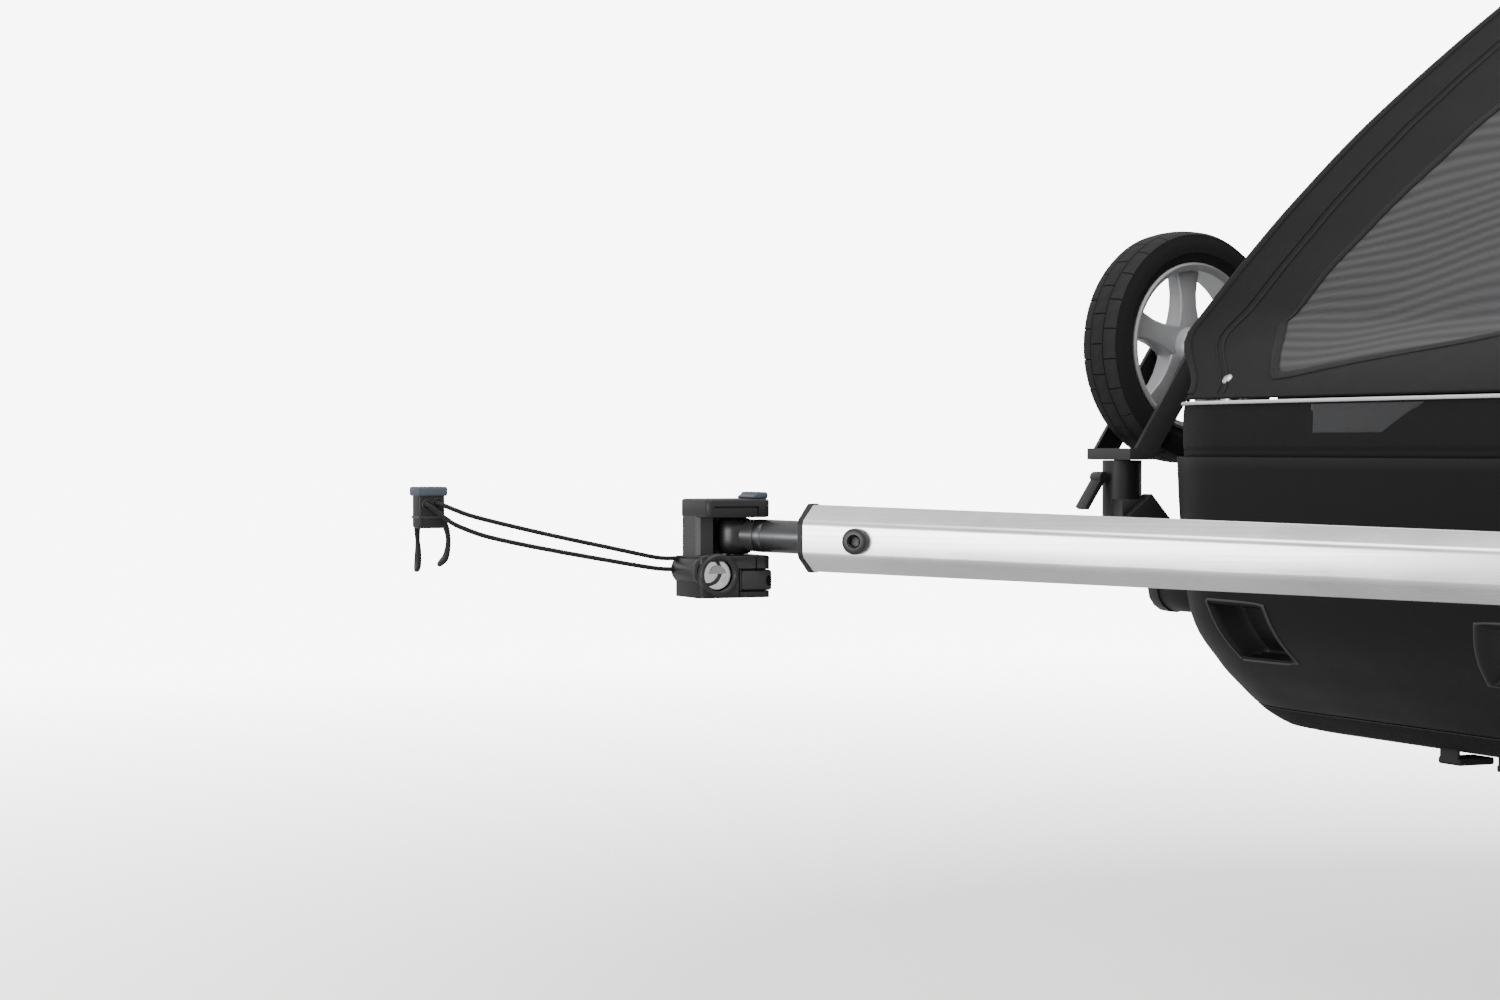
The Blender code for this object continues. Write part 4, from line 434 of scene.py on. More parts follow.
def stacked(rings):
    """Closed body through rings of equal counts, both ends capped."""
    bm = bmesh.new()
    rings = [[bm.verts.new(spot) for spot in ring] for ring in rings]
    for low, high in zip(rings, rings[1:]):
        for i in range(len(low)):
            bm.faces.new((low[i], low[i - 1], high[i - 1], high[i]))
    bm.faces.new(list(reversed(rings[0])))
    bm.faces.new(rings[-1])
    bmesh.ops.recalc_face_normals(bm, faces=bm.faces)
    return bm


def arc_points(centre, radius, degrees):
    """Points of an arc in a plane."""
    return [Vector((centre[0] + radius * math.cos(math.radians(a)),
                    centre[1] + radius * math.sin(math.radians(a)))) for a in degrees]


def plate(x, y, z, round_right, round_left=0.0030, edge=0.0011):
    """Flat plate with rounded corners in plan and eased edges above and below."""
    outline = []
    for cx, cy, radius, first in ((x[0] + round_left, y[0] + round_left, round_left, 180),
                                  (x[1] - round_right, y[0] + round_right, round_right, 270),
                                  (x[1] - round_right, y[1] - round_right, round_right, 0),
                                  (x[0] + round_left, y[1] - round_left, round_left, 90)):
        outline += arc_points((cx, cy), radius, range(first, first + 91, 10))
    mid = Vector((sum(x) / 2, sum(y) / 2))
    half = Vector(((x[1] - x[0]) / 2, (y[1] - y[0]) / 2))
    return stacked([[(mid.x + (p.x - mid.x) * (1 - inset / half.x),
                      mid.y + (p.y - mid.y) * (1 - inset / half.y), height) for p in outline]
                    for inset, height in ((edge, z[0]), (edge * 0.3, z[0] + edge * 0.3), (0.0, z[0] + edge),
                                          (0.0, z[1] - edge), (edge * 0.3, z[1] - edge * 0.3), (edge, z[1]))])


def pocket_wall():
    """Web behind the mouth, open at its near corner, with a round hollow behind the knuckle."""
    left, front, hollow = PIN_X - 0.0237, PIN_Y - 0.0044, 0.0147
    arc = arc_points((PIN_X, PIN_Y), hollow, range(93, 198, 7))
    outline = [(left + 0.002, front), (left, front + 0.002), (left, BACK_Y - 0.003), (left + 0.003, BACK_Y),
               (arc[0].x, BACK_Y), *arc, (arc[-1].x - 0.0002, front)]
    return stacked([[(x, y, z) for x, y in outline] for z in (MOUTH_Z[0] - 0.001, MOUTH_Z[1] + 0.001)])


def groove(start, finish, wide=0.0007):
    """Recessed line on the head's near face, drawn as a shallow strip sunk into it and coloured darker than
    the plastic as painted shade of the groove.
    """
    low = (min(start[0], finish[0]) - wide / 2, FACE_Y - 0.00012, min(start[1], finish[1]) - wide / 2)
    high = (max(start[0], finish[0]) + wide / 2, FACE_Y + 0.0008, max(start[1], finish[1]) + wide / 2)
    return block(low, high)


RIGHT_X = PIN_X + 0.0130
base_bm = from_cad("hitch_head", 0.0)
bmesh.ops.bisect_plane(base_bm, geom=base_bm.verts[:] + base_bm.edges[:] + base_bm.faces[:],
                       plane_co=(0, 0, MOUTH_Z[0] - 0.0006), plane_no=(0, 0, 1), dist=0.00001,
                       clear_outer=True)
bmesh.ops.holes_fill(base_bm, edges=[e for e in base_bm.edges if e.is_boundary], sides=0)
soften(base_bm, 40.0, 0.0007, 3)
bmesh.ops.recalc_face_normals(base_bm, faces=base_bm.faces)
deck = plate((PIN_X - 0.0240, RIGHT_X), (FACE_Y, BACK_Y), (MOUTH_Z[0] - 0.0030, MOUTH_Z[0]), 0.0042)
upper = plate((PIN_X - 0.0239, RIGHT_X), (FACE_Y, BACK_Y), (MOUTH_Z[1], 0.3257), 0.0048)
lock_ring = turned(((0.0084, 0.002), (0.0084, -0.0004), (0.0089, -0.0010), (0.0101, -0.0010),
                    (0.0108, -0.0004), (0.0112, 0.002)), (-0.6804, FACE_Y, 0.2865), (0, 1, 0), 64)
boss_rim = turned(((0.0062, 0.0), (0.0076, 0.0), (0.0082, 0.0005), (0.0082, 0.0022), (0.0078, 0.0028),
                   (0.0062, 0.0028)), (PIN_X - 0.0224, PIN_Y - 0.0158, 0.2886), (0, 1, 0), 48)
piece("hitch_body", together(base_bm, deck, upper, pocket_wall(), lock_ring, boss_rim), black_plastic,
      "head", ("hitch_head",), 40.0)
# Painted shade: this darker finish stands for the shade inside the head's recessed lines and the latch's
# hole.
groove_shade_black = hard("groove_shade_paint", (0.0035, 0.0035, 0.0038), 0.6, 900.0, 0.00002, 0.0, specular=0.1)
GROOVES = ((-0.0195, 0.3216, 0.0050, 0.3216), (0.0050, 0.3176, 0.0050, 0.3216),
           (-0.0056, 0.2893, 0.0086, 0.2893), (-0.0056, 0.2750, -0.0056, 0.2893),
           (-0.0056, 0.2778, 0.0086, 0.2778), (0.0040, 0.2893, 0.0040, 0.2950))
grooves = together(*[groove((PIN_X + x0, z0), (PIN_X + x1, z1)) for x0, z0, x1, z1 in GROOVES])
piece("hitch_groove_shade_lines", grooves, groove_shade_black, "head", (), 30.0)
cap_low, cap_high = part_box("head_cap")
cap_bm = block(cap_low, cap_high, 0.0011, 3)
for vert in cap_bm.verts:
    if vert.co.x < cap_low.x + 0.002 and vert.co.z > cap_high.z - 0.0014:
        vert.co.x += 0.0022
piece("hitch_cap", cap_bm, blue_grey, "head_button", ("head_cap",))
chrome = hard("polished_steel", (0.88, 0.88, 0.89), 0.30, 300.0, 0.000005, 0.0, metallic=1.0)
lock_low, lock_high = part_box("head_lock")
LOCK_X, LOCK_Z = (lock_low.x + lock_high.x) / 2, (lock_low.z + lock_high.z) / 2
lock_bm = turned(((0.0, 0.007), (0.0078, 0.007), (0.0080, 0.0065), (0.0080, 0.0006), (0.0075, 0.0),
                  (0.0050, 0.0), (0.0048, 0.0003), (0.0, 0.0003)), (LOCK_X, lock_low.y, LOCK_Z), (0, 1, 0),
                 64, closed=False)
piece("key_lock_disc", lock_bm, chrome, "key_lock", ("head_lock",), 30.0)
shutter_bm = stacked([[(x, y, z) for x, z in arc_points((LOCK_X, LOCK_Z + 0.0006), 0.0043, range(0, 181, 10))]
                      for y in (lock_low.y - 0.0005, lock_low.y + 0.0006)])
shutter_steel = hard("shutter_steel", (0.42, 0.42, 0.43), 0.38, 600.0, 0.000005, 0.0, metallic=1.0)
piece("key_shutter", shutter_bm, shutter_steel, "key_lock", (), 30.0)
piece("hitch_latch", from_cad("head_latch", 0.0), black_plastic, "latch", ("head_latch",))
# The latch's hole is a flat dark plug set in the face: painted shade of the hole.
latch_hole_shade_plug = shaft((0, -0.0002, 0), (0, 0.0030, 0), 0.0028, 28)
for vert in latch_hole_shade_plug.verts:
    vert.co = Vector((PIN_X + 0.0112 + vert.co.x * 0.55, FACE_Y + vert.co.y, 0.2832 + vert.co.z))
piece("hitch_latch_shade_plug", latch_hole_shade_plug, groove_shade_black, "latch", (), 30.0)
grey_metal = hard("dark_anodised", (0.085, 0.086, 0.090), 0.32, 1500.0, 0.00003, 0.4, metallic=0.85)
piece("hitch_pin", from_cad("head_pin", 0.0004), grey_metal, "head", ("head_pin",))
ARM_FRONT = Vector((-0.6325, -0.1023, 0.3055))
ARM_RUN = Vector((math.cos(math.radians(-47.7)), math.sin(math.radians(-47.7)), -0.0288)).normalized()
KNUCKLE_AT = ARM_FRONT - ARM_RUN * 0.0458
rod_collar = shaft(KNUCKLE_AT + ARM_RUN * 0.0126, KNUCKLE_AT + ARM_RUN * 0.0180, 0.00866, 48, 0.0006)
piece("roll_rod", together(from_cad("swivel_rod", 0.0008, 3), rod_collar), grey_metal, "swivel",
      ("swivel_rod",), 50.0)
knuckle_black = hard("knuckle_black", (0.012, 0.012, 0.013), 0.33, 900.0, 0.00004, 0.4, specular=0.6)
drum_low, drum_high, drum_r = MOUTH_Z[0] + 0.0004, MOUTH_Z[1] - 0.0004, 0.0102
drum = [(0.0, drum_low)]
for t in range(-90, 91, 10):
    swell = math.radians(t)
    drum.append((drum_r - 0.0046 * (1 - math.cos(swell)) ** 1.3,
                 (drum_low + drum_high) / 2 + (drum_high - drum_low) / 2 * math.sin(swell)))
drum.append((0.0, drum_high))
knuckle = together(turned(drum, (PIN_X, PIN_Y, 0.0), (0, 0, 1), 64, closed=False),
                   shaft(KNUCKLE_AT, KNUCKLE_AT + ARM_RUN * 0.0130, 0.0084, 48))
piece("roll_knuckle", knuckle, knuckle_black, "swivel", ("swivel_knuckle",), 60.0)


# Tow arm: an anodised aluminium extrusion with rounded corners, drawn through one bend.
# A black cap closes its front end and a socket-head bolt holds the roll rod inside.
ARM_SIDE_Y, ARM_TAIL_X, ARM_BEND_R = -0.386, 0.095, 0.065
ARM_HALF_D, ARM_HALF_H, ARM_FLAT = 0.0180, 0.0173, 0.0090


def arm_line():
    """Centre line of the arm: slanting front, bend and straight tail."""
    corner = ARM_FRONT + ARM_RUN * ((ARM_SIDE_Y - ARM_FRONT.y) / ARM_RUN.y)
    tail = Vector((ARM_TAIL_X, ARM_SIDE_Y, corner.z))
    out = (tail - corner).normalized()
    half = ARM_RUN.angle(out) / 2
    reach = ARM_BEND_R * math.tan(half)
    centre = corner + (out - ARM_RUN).normalized() * (ARM_BEND_R / math.cos(half))
    first = corner - ARM_RUN * reach
    turn = ARM_RUN.cross(out).normalized()
    line = [ARM_FRONT.lerp(first, i / 12) for i in range(12)]
    line += [centre + Matrix.Rotation(2 * half * i / 24, 3, turn) @ (first - centre) for i in range(25)]
    return line + [line[-1].lerp(tail, i / 12) for i in range(1, 13)]


def arm_outline(grow=0.0):
    """Section of the arm as (sideways, up) points, its eight corners rounded."""
    deep, high, flat = ARM_HALF_D + grow, ARM_HALF_H + grow, ARM_FLAT + 0.4 * grow
    shoulder = deep - (ARM_HALF_H - ARM_FLAT) * 1.7
    corners = [Vector(p) for p in ((deep, -flat), (deep, flat), (shoulder, high), (-shoulder, high),
                                   (-deep, flat), (-deep, -flat), (-shoulder, -high), (shoulder, -high))]
    points = []
    for i, corner in enumerate(corners):
        before, after = corners[i - 1], corners[(i + 1) % 8]
        for t in (0.0, 0.25, 0.5, 0.75, 1.0):
            near, far = corner.lerp(before, 0.14), corner.lerp(after, 0.14)
            points.append(near.lerp(corner, t).lerp(corner.lerp(far, t), t))
    return points


def skin(across, along, place, loop=False):
    """Grid of quads put in place by a rule of two shares from 0 to 1, mapped in metres."""
    bm = bmesh.new()
    bmesh.ops.create_grid(bm, x_segments=across, y_segments=along, size=0.5)
    sheet_map = bm.loops.layers.uv.verify()
    shares = {vert: (min(max(vert.co.x + 0.5, 0.0), 1.0), min(max(vert.co.y + 0.5, 0.0), 1.0))
              for vert in bm.verts}
    flat = {}
    for vert, (u, v) in shares.items():
        vert.co, flat[vert] = place(u, v)
    for face in bm.faces:
        for corner in face.loops:
            corner[sheet_map].uv = flat[corner.vert]
    if loop:
        bmesh.ops.remove_doubles(bm, verts=bm.verts, dist=0.000005)
    bmesh.ops.recalc_face_normals(bm, faces=bm.faces)
    return bm


def capped(bm):
    """Close every open end."""
    bmesh.ops.holes_fill(bm, edges=[e for e in bm.edges if e.is_boundary], sides=0)
    bmesh.ops.recalc_face_normals(bm, faces=bm.faces)
    return bm


def runs(points):
    """Distance along a line to each of its points."""
    lengths = [0.0]
    for a, b in zip(points, points[1:]):
        lengths.append(lengths[-1] + (b - a).length)
    return lengths


def along_chain(points, share):
    """Point at a share of a line's length."""
    lengths = runs(points)
    want = share * lengths[-1]
    for i in range(len(points) - 1):
        if want <= lengths[i + 1] + 0.0000001:
            gap = max(lengths[i + 1] - lengths[i], 0.0000001)
            return points[i].lerp(points[i + 1], (want - lengths[i]) / gap)
    return points[-1]


def extrusion(line, outline):
    """Section carried level along a line, closed at both ends."""
    count, last, lengths = len(outline), len(line) - 1, runs(line)

    def place(u, v):
        k, i = round(v * last), round(u * count) % count
        run = line[min(k + 1, last)] - line[max(k - 1, 0)]
        side = Vector((run.y, -run.x, 0.0)).normalized()
        return line[k] + side * outline[i].x + Vector((0, 0, outline[i].y)), (lengths[k], i * 0.003)
    return capped(skin(count, last, place, loop=True))


def brushed(name, colour, roughness, streak):
    """Anodised alloy with fine drawing lines along the arm's slanting front."""
    mat = hard(name, colour, roughness, 700.0, 0.00001, 0.15, metallic=1.0)
    tree = mat.node_tree
    shader = tree.nodes["Principled BSDF"]
    stretch = node(tree, "Mapping", {"Vector": node(tree, "TexCoord").outputs["Object"],
                                     "Scale": (6.0, 6.0, streak), "Rotation": (0.0, 0.0, math.radians(47.7))})
    lines = node(tree, "TexNoise", {"Vector": stretch.outputs[0], "Scale": 1.0, "Detail": 5.0,
                                    "Roughness": 0.7}).outputs[0]
    raised = node(tree, "Bump", {"Strength": 0.12, "Distance": 0.00004, "Height": lines})
    group_rough = shader.inputs["Roughness"].links[0].from_socket
    feed(tree, shader, {"Normal": raised.outputs[0],
                        "Roughness": sums(tree, "ADD", group_rough,
                                          spread(tree, lines, 0.3, 0.7, -0.05, 0.06))})
    return mat


arm_metal = brushed("arm_anodised", (0.90, 0.90, 0.905), 0.27, 900.0)
arm_points = arm_line()
piece("tow_arm_extrusion", extrusion(arm_points, arm_outline()), arm_metal, "arm", ("tow_arm",),
      50.0)
cap_start = ARM_FRONT - ARM_RUN * 0.0026
cap_line = [cap_start, cap_start + ARM_RUN * 0.0004, cap_start + ARM_RUN * 0.0019,
            cap_start + ARM_RUN * 0.0023]
cap_bm = extrusion(cap_line, arm_outline(0.0006))
piece("arm_end_plug", cap_bm, black_plastic, "arm", ("arm_end_cap",), 30.0)
NEAR_SIDE = Vector((ARM_RUN.y, -ARM_RUN.x, 0.0)).normalized()
bolt_face = ARM_FRONT + ARM_RUN * 0.030 + NEAR_SIDE * 0.0182
bolt_black = hard("bolt_black", (0.022, 0.022, 0.024), 0.35, 1500.0, 0.00003, 0.6, metallic=0.7)
bolt_bm = turned(((0.0, 0.0), (0.0067, 0.0), (0.0067, 0.0036), (0.0064, 0.0044), (0.0058, 0.0047),
                  (0.0036, 0.0047), (0.0034, 0.0045)), bolt_face, NEAR_SIDE, 48, closed=False)
socket_bm = turned(((0.0034, 0.0045), (0.0030, 0.0042), (0.0030, 0.0012), (0.0, 0.0008)), bolt_face,
                   NEAR_SIDE, 6, closed=False)
piece("arm_socket_bolt", together(bolt_bm, socket_bm), bolt_black, "arm", ("arm_bolt",), 30.0)
piece("arm_receiver_sleeve", from_cad("arm_receiver", 0.0012, 3), black_plastic, "chassis",
      ("arm_receiver",))
pin_low, pin_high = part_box("arm_lock_pin")
knob_at = Vector(((pin_low.x + pin_high.x) / 2, (pin_low.y + pin_high.y) / 2, pin_low.z))
knob_z = pin_high.z - pin_low.z
knob_bm = turned(((0.0, 0.0), (0.0040, 0.0), (0.0040, knob_z - 0.016), (0.0096, knob_z - 0.016),
                  (0.0100, knob_z - 0.0150), (0.0084, knob_z - 0.010), (0.0084, knob_z - 0.006),
                  (0.0100, knob_z - 0.0030), (0.0094, knob_z - 0.0006), (0.0070, knob_z), (0.0, knob_z)),
                 knob_at, (0, 0, 1), 40, closed=False)
piece("arm_lock_knob", knob_bm, black_plastic, "arm_lock", ("arm_lock_pin",))


# Tub: one vacuum-formed shell with a satin grain, raked at the nose, its rim turned over.
# Two hand holds are let into the nose, deep at their outer ends and flush at their inner ones.
TUB_NOSE = ((0.158, -0.105), (0.162, -0.129), (0.171, -0.148), (0.178, -0.158), (0.188, -0.170),
            (0.207, -0.190), (0.240, -0.213), (0.300, -0.222), (0.346, -0.225))
TUB_FRONT_X, TUB_REAR_X, TUB_HALF_W, TUB_WALL, NOSE_R, TAIL_R = -0.225, 0.600, 0.280, 0.004, 0.118, 0.030
SIDES = (("right", 1), ("left", -1))
STRIP_TOP_Z, STRIP_T = 0.178, 0.0033


def read(table, value):
    """Straight-line reading of (value, result) pairs."""
    for (u0, v0), (u1, v1) in zip(table, table[1:]):
        if value <= u1:
            return v0 + (v1 - v0) * (value - u0) / (u1 - u0)
    return table[-1][1]


NOSE_LINE = [(p.x, p.y) for p in eased([Vector(p) for p in TUB_NOSE], 6)]


def rounded_plan():
    """Plan of the tub at its rim, as dense points all round."""
    corners = ((TUB_FRONT_X + NOSE_R, -TUB_HALF_W + NOSE_R, NOSE_R, 180),
               (TUB_REAR_X - TAIL_R, -TUB_HALF_W + TAIL_R, TAIL_R, 270),
               (TUB_REAR_X - TAIL_R, TUB_HALF_W - TAIL_R, TAIL_R, 0),
               (TUB_FRONT_X + NOSE_R, TUB_HALF_W - NOSE_R, NOSE_R, 90))
    points = []
    for x, y, radius, first in corners:
        points += arc_points((x, y), radius, range(first, first + 91, 6))
    dense = []
    for a, b in zip(points, points[1:] + points[:1]):
        count = max(1, round((b - a).length / 0.014))
        dense += [a.lerp(b, i / count) for i in range(count)]
    return dense


RIM_PLAN = rounded_plan()


def tub_plan(z, inset=0.0):
    """The tub's plan at one height, with one count of points for every height."""
    rise = max(0.0, 1.0 - (z - 0.158) / 0.040)
    front, rear = read(NOSE_LINE, z) + inset, TUB_REAR_X - 0.040 * rise ** 2 - inset
    half = TUB_HALF_W - inset
    return [Vector((front + (p.x - TUB_FRONT_X) * (rear - front) / (TUB_REAR_X - TUB_FRONT_X),
                    p.y * half / TUB_HALF_W, z))
            for p in RIM_PLAN]


def shell(rings):
    """Closed-round skin through rings of equal counts."""
    count, last = len(rings[0]), len(rings) - 1

    def place(u, v):
        k, i = round(v * last), round(u * count) % count
        return rings[k][i], (i * 0.012, rings[k][i].z)
    return skin(count, last, place, loop=True)


tub_black = hard("tub_black", (0.0062, 0.0062, 0.0068), 0.45, 750.0, 0.00007, 0.20, specular=0.13)
shell_heights = [z for z, _ in NOSE_LINE]
outer_rings = [tub_plan(z, STRIP_T) for z in shell_heights
               if z < STRIP_TOP_Z - 0.0005] + [tub_plan(STRIP_TOP_Z, STRIP_T)]
outer_rings += [tub_plan(STRIP_TOP_Z + 0.0002, 0.0006)]
outer_rings += [tub_plan(z) for z in shell_heights if z > STRIP_TOP_Z + 0.0008]
outer_rings += [tub_plan(0.3462, 0.0012), tub_plan(0.3460, TUB_WALL)]
inner_rings = [tub_plan(z, TUB_WALL + (0.0 if z > STRIP_TOP_Z else STRIP_T)) for z in reversed(shell_heights)
               if 0.162 < z < 0.344]
tub_bm = capped(shell(outer_rings + inner_rings))
HOLD_Z = (0.215, 0.250)
HOLD_OUT, HOLD_IN, HOLD_LEAN, NOSE_BACK_X = 0.1665, 0.1030, 0.0110, -0.12
HOLD_MID, LEAN_RATE = sum(HOLD_Z) / 2, HOLD_LEAN / (HOLD_Z[1] - HOLD_Z[0])


def scored(bm, faces, spot, normal):
    """Cut some faces along a plane."""
    edges = list(dict.fromkeys(e for f in faces for e in f.edges))
    verts = list(dict.fromkeys(v for f in faces for v in f.verts))
    bmesh.ops.bisect_plane(bm, geom=faces + edges + verts, plane_co=spot, plane_no=normal, dist=0.00001)


for sign in (1, -1):
    for z in HOLD_Z:
        front_faces = [f for f in tub_bm.faces
                       if f.calc_center_median().x < NOSE_BACK_X and abs(f.normal.x) > 0.3]
        scored(tub_bm, front_faces, (0, 0, z), (0, 0, 1))
    for y in (HOLD_OUT, HOLD_IN):
        front_faces = [f for f in tub_bm.faces if f.calc_center_median().x < NOSE_BACK_X
                       and HOLD_Z[0] < f.calc_center_median().z < HOLD_Z[1]]
        scored(tub_bm, front_faces, (0, sign * y, HOLD_MID), Vector((0, 1.0, -sign * LEAN_RATE)).normalized())
    gone = []
    for face in tub_bm.faces:
        spot = face.calc_center_median()
        across = sign * spot.y - (spot.z - HOLD_MID) * LEAN_RATE
        if spot.x < NOSE_BACK_X and HOLD_Z[0] < spot.z < HOLD_Z[1] and HOLD_IN < across < HOLD_OUT:
            gone.append(face)
    bmesh.ops.delete(tub_bm, geom=gone, context="FACES")
piece("tub_shell", tub_bm, tub_black, "chassis", ("tub",), 40.0)

# Pivots and ears of the tub: a stub on each side that the stroller wheel's arm folds about, the
# fold levers' ears, the blocks that catch the uprights' feet, and the brake pedal's two ears.
STOW_X, STOW_Z, EYE_IN, EYE_OUT = -0.165, 0.2535, 0.2895, 0.3020
LEVER_X, LEVER_Z, PEDAL_X, PEDAL_Z = 0.556, 0.366, 0.617, 0.205
foot_y = max(abs(corner.y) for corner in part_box("upright_right")) + 0.0003
STUBS = ((STOW_X, STOW_Z, 0.248, EYE_IN, 0.0160, 48, 0.0015),
         (STOW_X, STOW_Z, TUB_HALF_W, EYE_OUT, 0.0079, 32, 0.0010),
         (LEVER_X, LEVER_Z, 0.2763, 0.2863, 0.0040, 28, 0.0006),
         (PEDAL_X, PEDAL_Z, 0.0493, 0.0373, 0.0046, 28, 0.0006))
EARS = (((LEVER_X - 0.014, LEVER_X + 0.014), (0.2753, TUB_HALF_W), (0.320, LEVER_Z + 0.012)),
        ((0.545, 0.575), (foot_y, 0.279), (0.320, 0.346)),
        ((0.598, PEDAL_X + 0.008), (0.0453, 0.0533), (PEDAL_Z - 0.010, PEDAL_Z + 0.010)))
fittings = []
for sign in (1, -1):
    for x, z, near_y, far_y, radius, sides, edge in STUBS:
        fittings.append(shaft((x, sign * near_y, z), (x, sign * far_y, z), radius, sides, edge))
    for xs, ys, zs in EARS:
        y0, y1 = sorted((sign * ys[0], sign * ys[1]))
        fittings.append(block((xs[0], y0, zs[0]), (xs[1], y1, zs[1]), 0.0012, 2))
piece("tub_fittings", together(*fittings), tub_black, "chassis", (), 40.0)

HOLD_DEPTH = 0.022
hold_black = hard("hold_black", (0.011, 0.011, 0.012), 0.45, 750.0, 0.00007, 0.4, specular=0.35)


def thicken(obj, thickness, offset=-1.0):
    """Give an open skin a wall, grown to one side of it or to both."""
    wall = obj.modifiers.new("wall", "SOLIDIFY")
    wall.thickness, wall.offset = thickness, offset


def hand_hold(side):
    """Tray of one hand hold, with a thin lip round its mouth."""
    def mouth(u, v, deep):
        z = HOLD_Z[0] + (HOLD_Z[1] - HOLD_Z[0]) * v
        y = HOLD_IN + (HOLD_OUT - HOLD_IN) * u + (v - 0.5) * HOLD_LEAN
        return Vector((read(NOSE_LINE, z) + deep, side * y, z))

    def place(u, v):
        rim = min(u, 1 - u, v, 1 - v)
        sunk = min(1.0, max(0.0, (rim - 0.02) / 0.10))
        slope = min(1.0, max(0.0, (u - 0.04) / 0.50)) ** 0.8
        deep = HOLD_DEPTH * sunk ** 0.7 * slope
        return mouth(-0.03 + 1.06 * u, -0.05 + 1.10 * v, deep - 0.0006 * (rim < 0.06)), (u * 0.06, v * 0.03)
    return skin(56, 28, place)


for word, sign in SIDES:
    tray = piece("hand_hold_tray_" + word, hand_hold(sign), hold_black, "chassis")
    thicken(tray, 0.0015, -sign)


# Bumper strip: rough-grained black band pressed round the tub's lower edge, with two
# foot tabs under the nose. It takes the knocks, so its grain is the coarsest on the trailer.
strip_black = hard("strip_rough", (0.0095, 0.0095, 0.0100), 0.72, 260.0, 0.0006, 0.45, specular=0.16)
STRIP_FOOT_Z = 0.1622
strip_heights = [z for z in shell_heights if STRIP_FOOT_Z < z < STRIP_TOP_Z - 0.0005] + [STRIP_TOP_Z - 0.0004]
strip_rings = [tub_plan(z, 0.0001) for z in strip_heights]
strip_rings += [tub_plan(z, 0.0030) for z in reversed(strip_heights)]
strip_bm = shell(strip_rings + [strip_rings[0]])
front_x = read(NOSE_LINE, 0.1625)
TAB_Y = 0.029
feet = []
for y in (TAB_Y, -TAB_Y):
    feet += [block((front_x + 0.0006, y - 0.011, 0.1530), (front_x + 0.028, y + 0.011, 0.1577), 0.0014, 3),
             block((front_x + 0.0004, y - 0.009, 0.1545), (front_x + 0.0030, y + 0.009, 0.1632), 0.0007, 2)]
piece("bumper_strip", together(strip_bm, *feet), strip_black, "chassis", ("skid_strip",))


# Front skirt: coated cloth pulled tight over the tub's rim and round the nose. A reflective
# piping is sewn along its top, and a bare sewn-on patch sits in the middle of the nose.
SKIRT_FRONT_X, SKIRT_HALF_W, SKIRT_BACK_X = -0.2195, 0.2790, -0.095
SKIRT_Z = (0.3463, 0.3805)
SKIRT_STEPS, PIPING_STEPS = 260, 180
CLOTH_T, PATCH_T, NET_T = 0.0012, 0.0007, 0.0006


def nose_path(front, half, back, steps):
    """Evenly spaced points round the nose, from the left side to the right, and the distance to each."""
    quarter = [Vector((front + NOSE_R - NOSE_R * math.sin(math.radians(3 * i)),
                       -half + NOSE_R - NOSE_R * math.cos(math.radians(3 * i))))
               for i in range(31)]
    points = [Vector((back, -half))] + quarter
    points += [Vector((p.x, -p.y)) for p in reversed(points)]
    total = runs(points)[-1]
    return [(along_chain(points, k / steps), total * k / steps) for k in range(steps + 1)]


skirt_cloth = cloth("skirt_cloth", (0.0115, 0.0115, 0.0120), 0.0009, 0.00016, 0.0012, 0.78, sheen=0.06,
                    specular=0.10)
skirt_path = nose_path(SKIRT_FRONT_X, SKIRT_HALF_W, SKIRT_BACK_X, SKIRT_STEPS)


def skirt_place(u, v):
    """Skirt pulled tight, with faint puckers, a hem and a tuck over the rim."""
    spot, reach = skirt_path[round(u * SKIRT_STEPS)]
    inward = Vector((0.2 - spot.x, -spot.y * 0.5)).normalized()
    z = SKIRT_Z[0] + (SKIRT_Z[1] - SKIRT_Z[0]) * v
    pull = 0.0007 * math.sin(reach * 95 + 2.0 * math.sin(reach * 23)) * math.sin(math.pi * v)
    tuck = 0.0008 * (1 - v) ** 6 + 0.0010 * v ** 8
    hem = 0.0006 if 0.10 < v < 0.14 else 0.0
    place = spot + inward * (0.0002 + pull * pull * 200 + tuck + hem)
    return Vector((place.x, place.y, z)), (reach, z)


skirt = piece("front_skirt_cloth", skin(SKIRT_STEPS, 22, skirt_place), skirt_cloth, "chassis",
              ("front_skirt",), 60.0)
thicken(skirt, CLOTH_T)


def tube(points, radius, steps=5):
    """Round tube along points, as a closed bmesh."""
    line = bpy.data.curves.new("line", "CURVE")
    line.dimensions = "3D"
    line.bevel_depth = radius
    line.bevel_resolution = steps
    line.use_fill_caps = True
    spline = line.splines.new("POLY")
    spline.points.add(len(points) - 1)
    for held, spot in zip(spline.points, points):
        held.co = (*spot, 1.0)
    guide = bpy.data.objects.new("line", line)
    bpy.context.scene.collection.objects.link(guide)
    mesh = bpy.data.meshes.new_from_object(guide.evaluated_get(bpy.context.evaluated_depsgraph_get()))
    bm = bmesh.new()
    bm.from_mesh(mesh)
    bpy.data.objects.remove(guide)
    bpy.data.curves.remove(line)
    bpy.data.meshes.remove(mesh)
    bmesh.ops.remove_doubles(bm, verts=bm.verts, dist=0.000005)
    bmesh.ops.recalc_face_normals(bm, faces=bm.faces)
    return bm


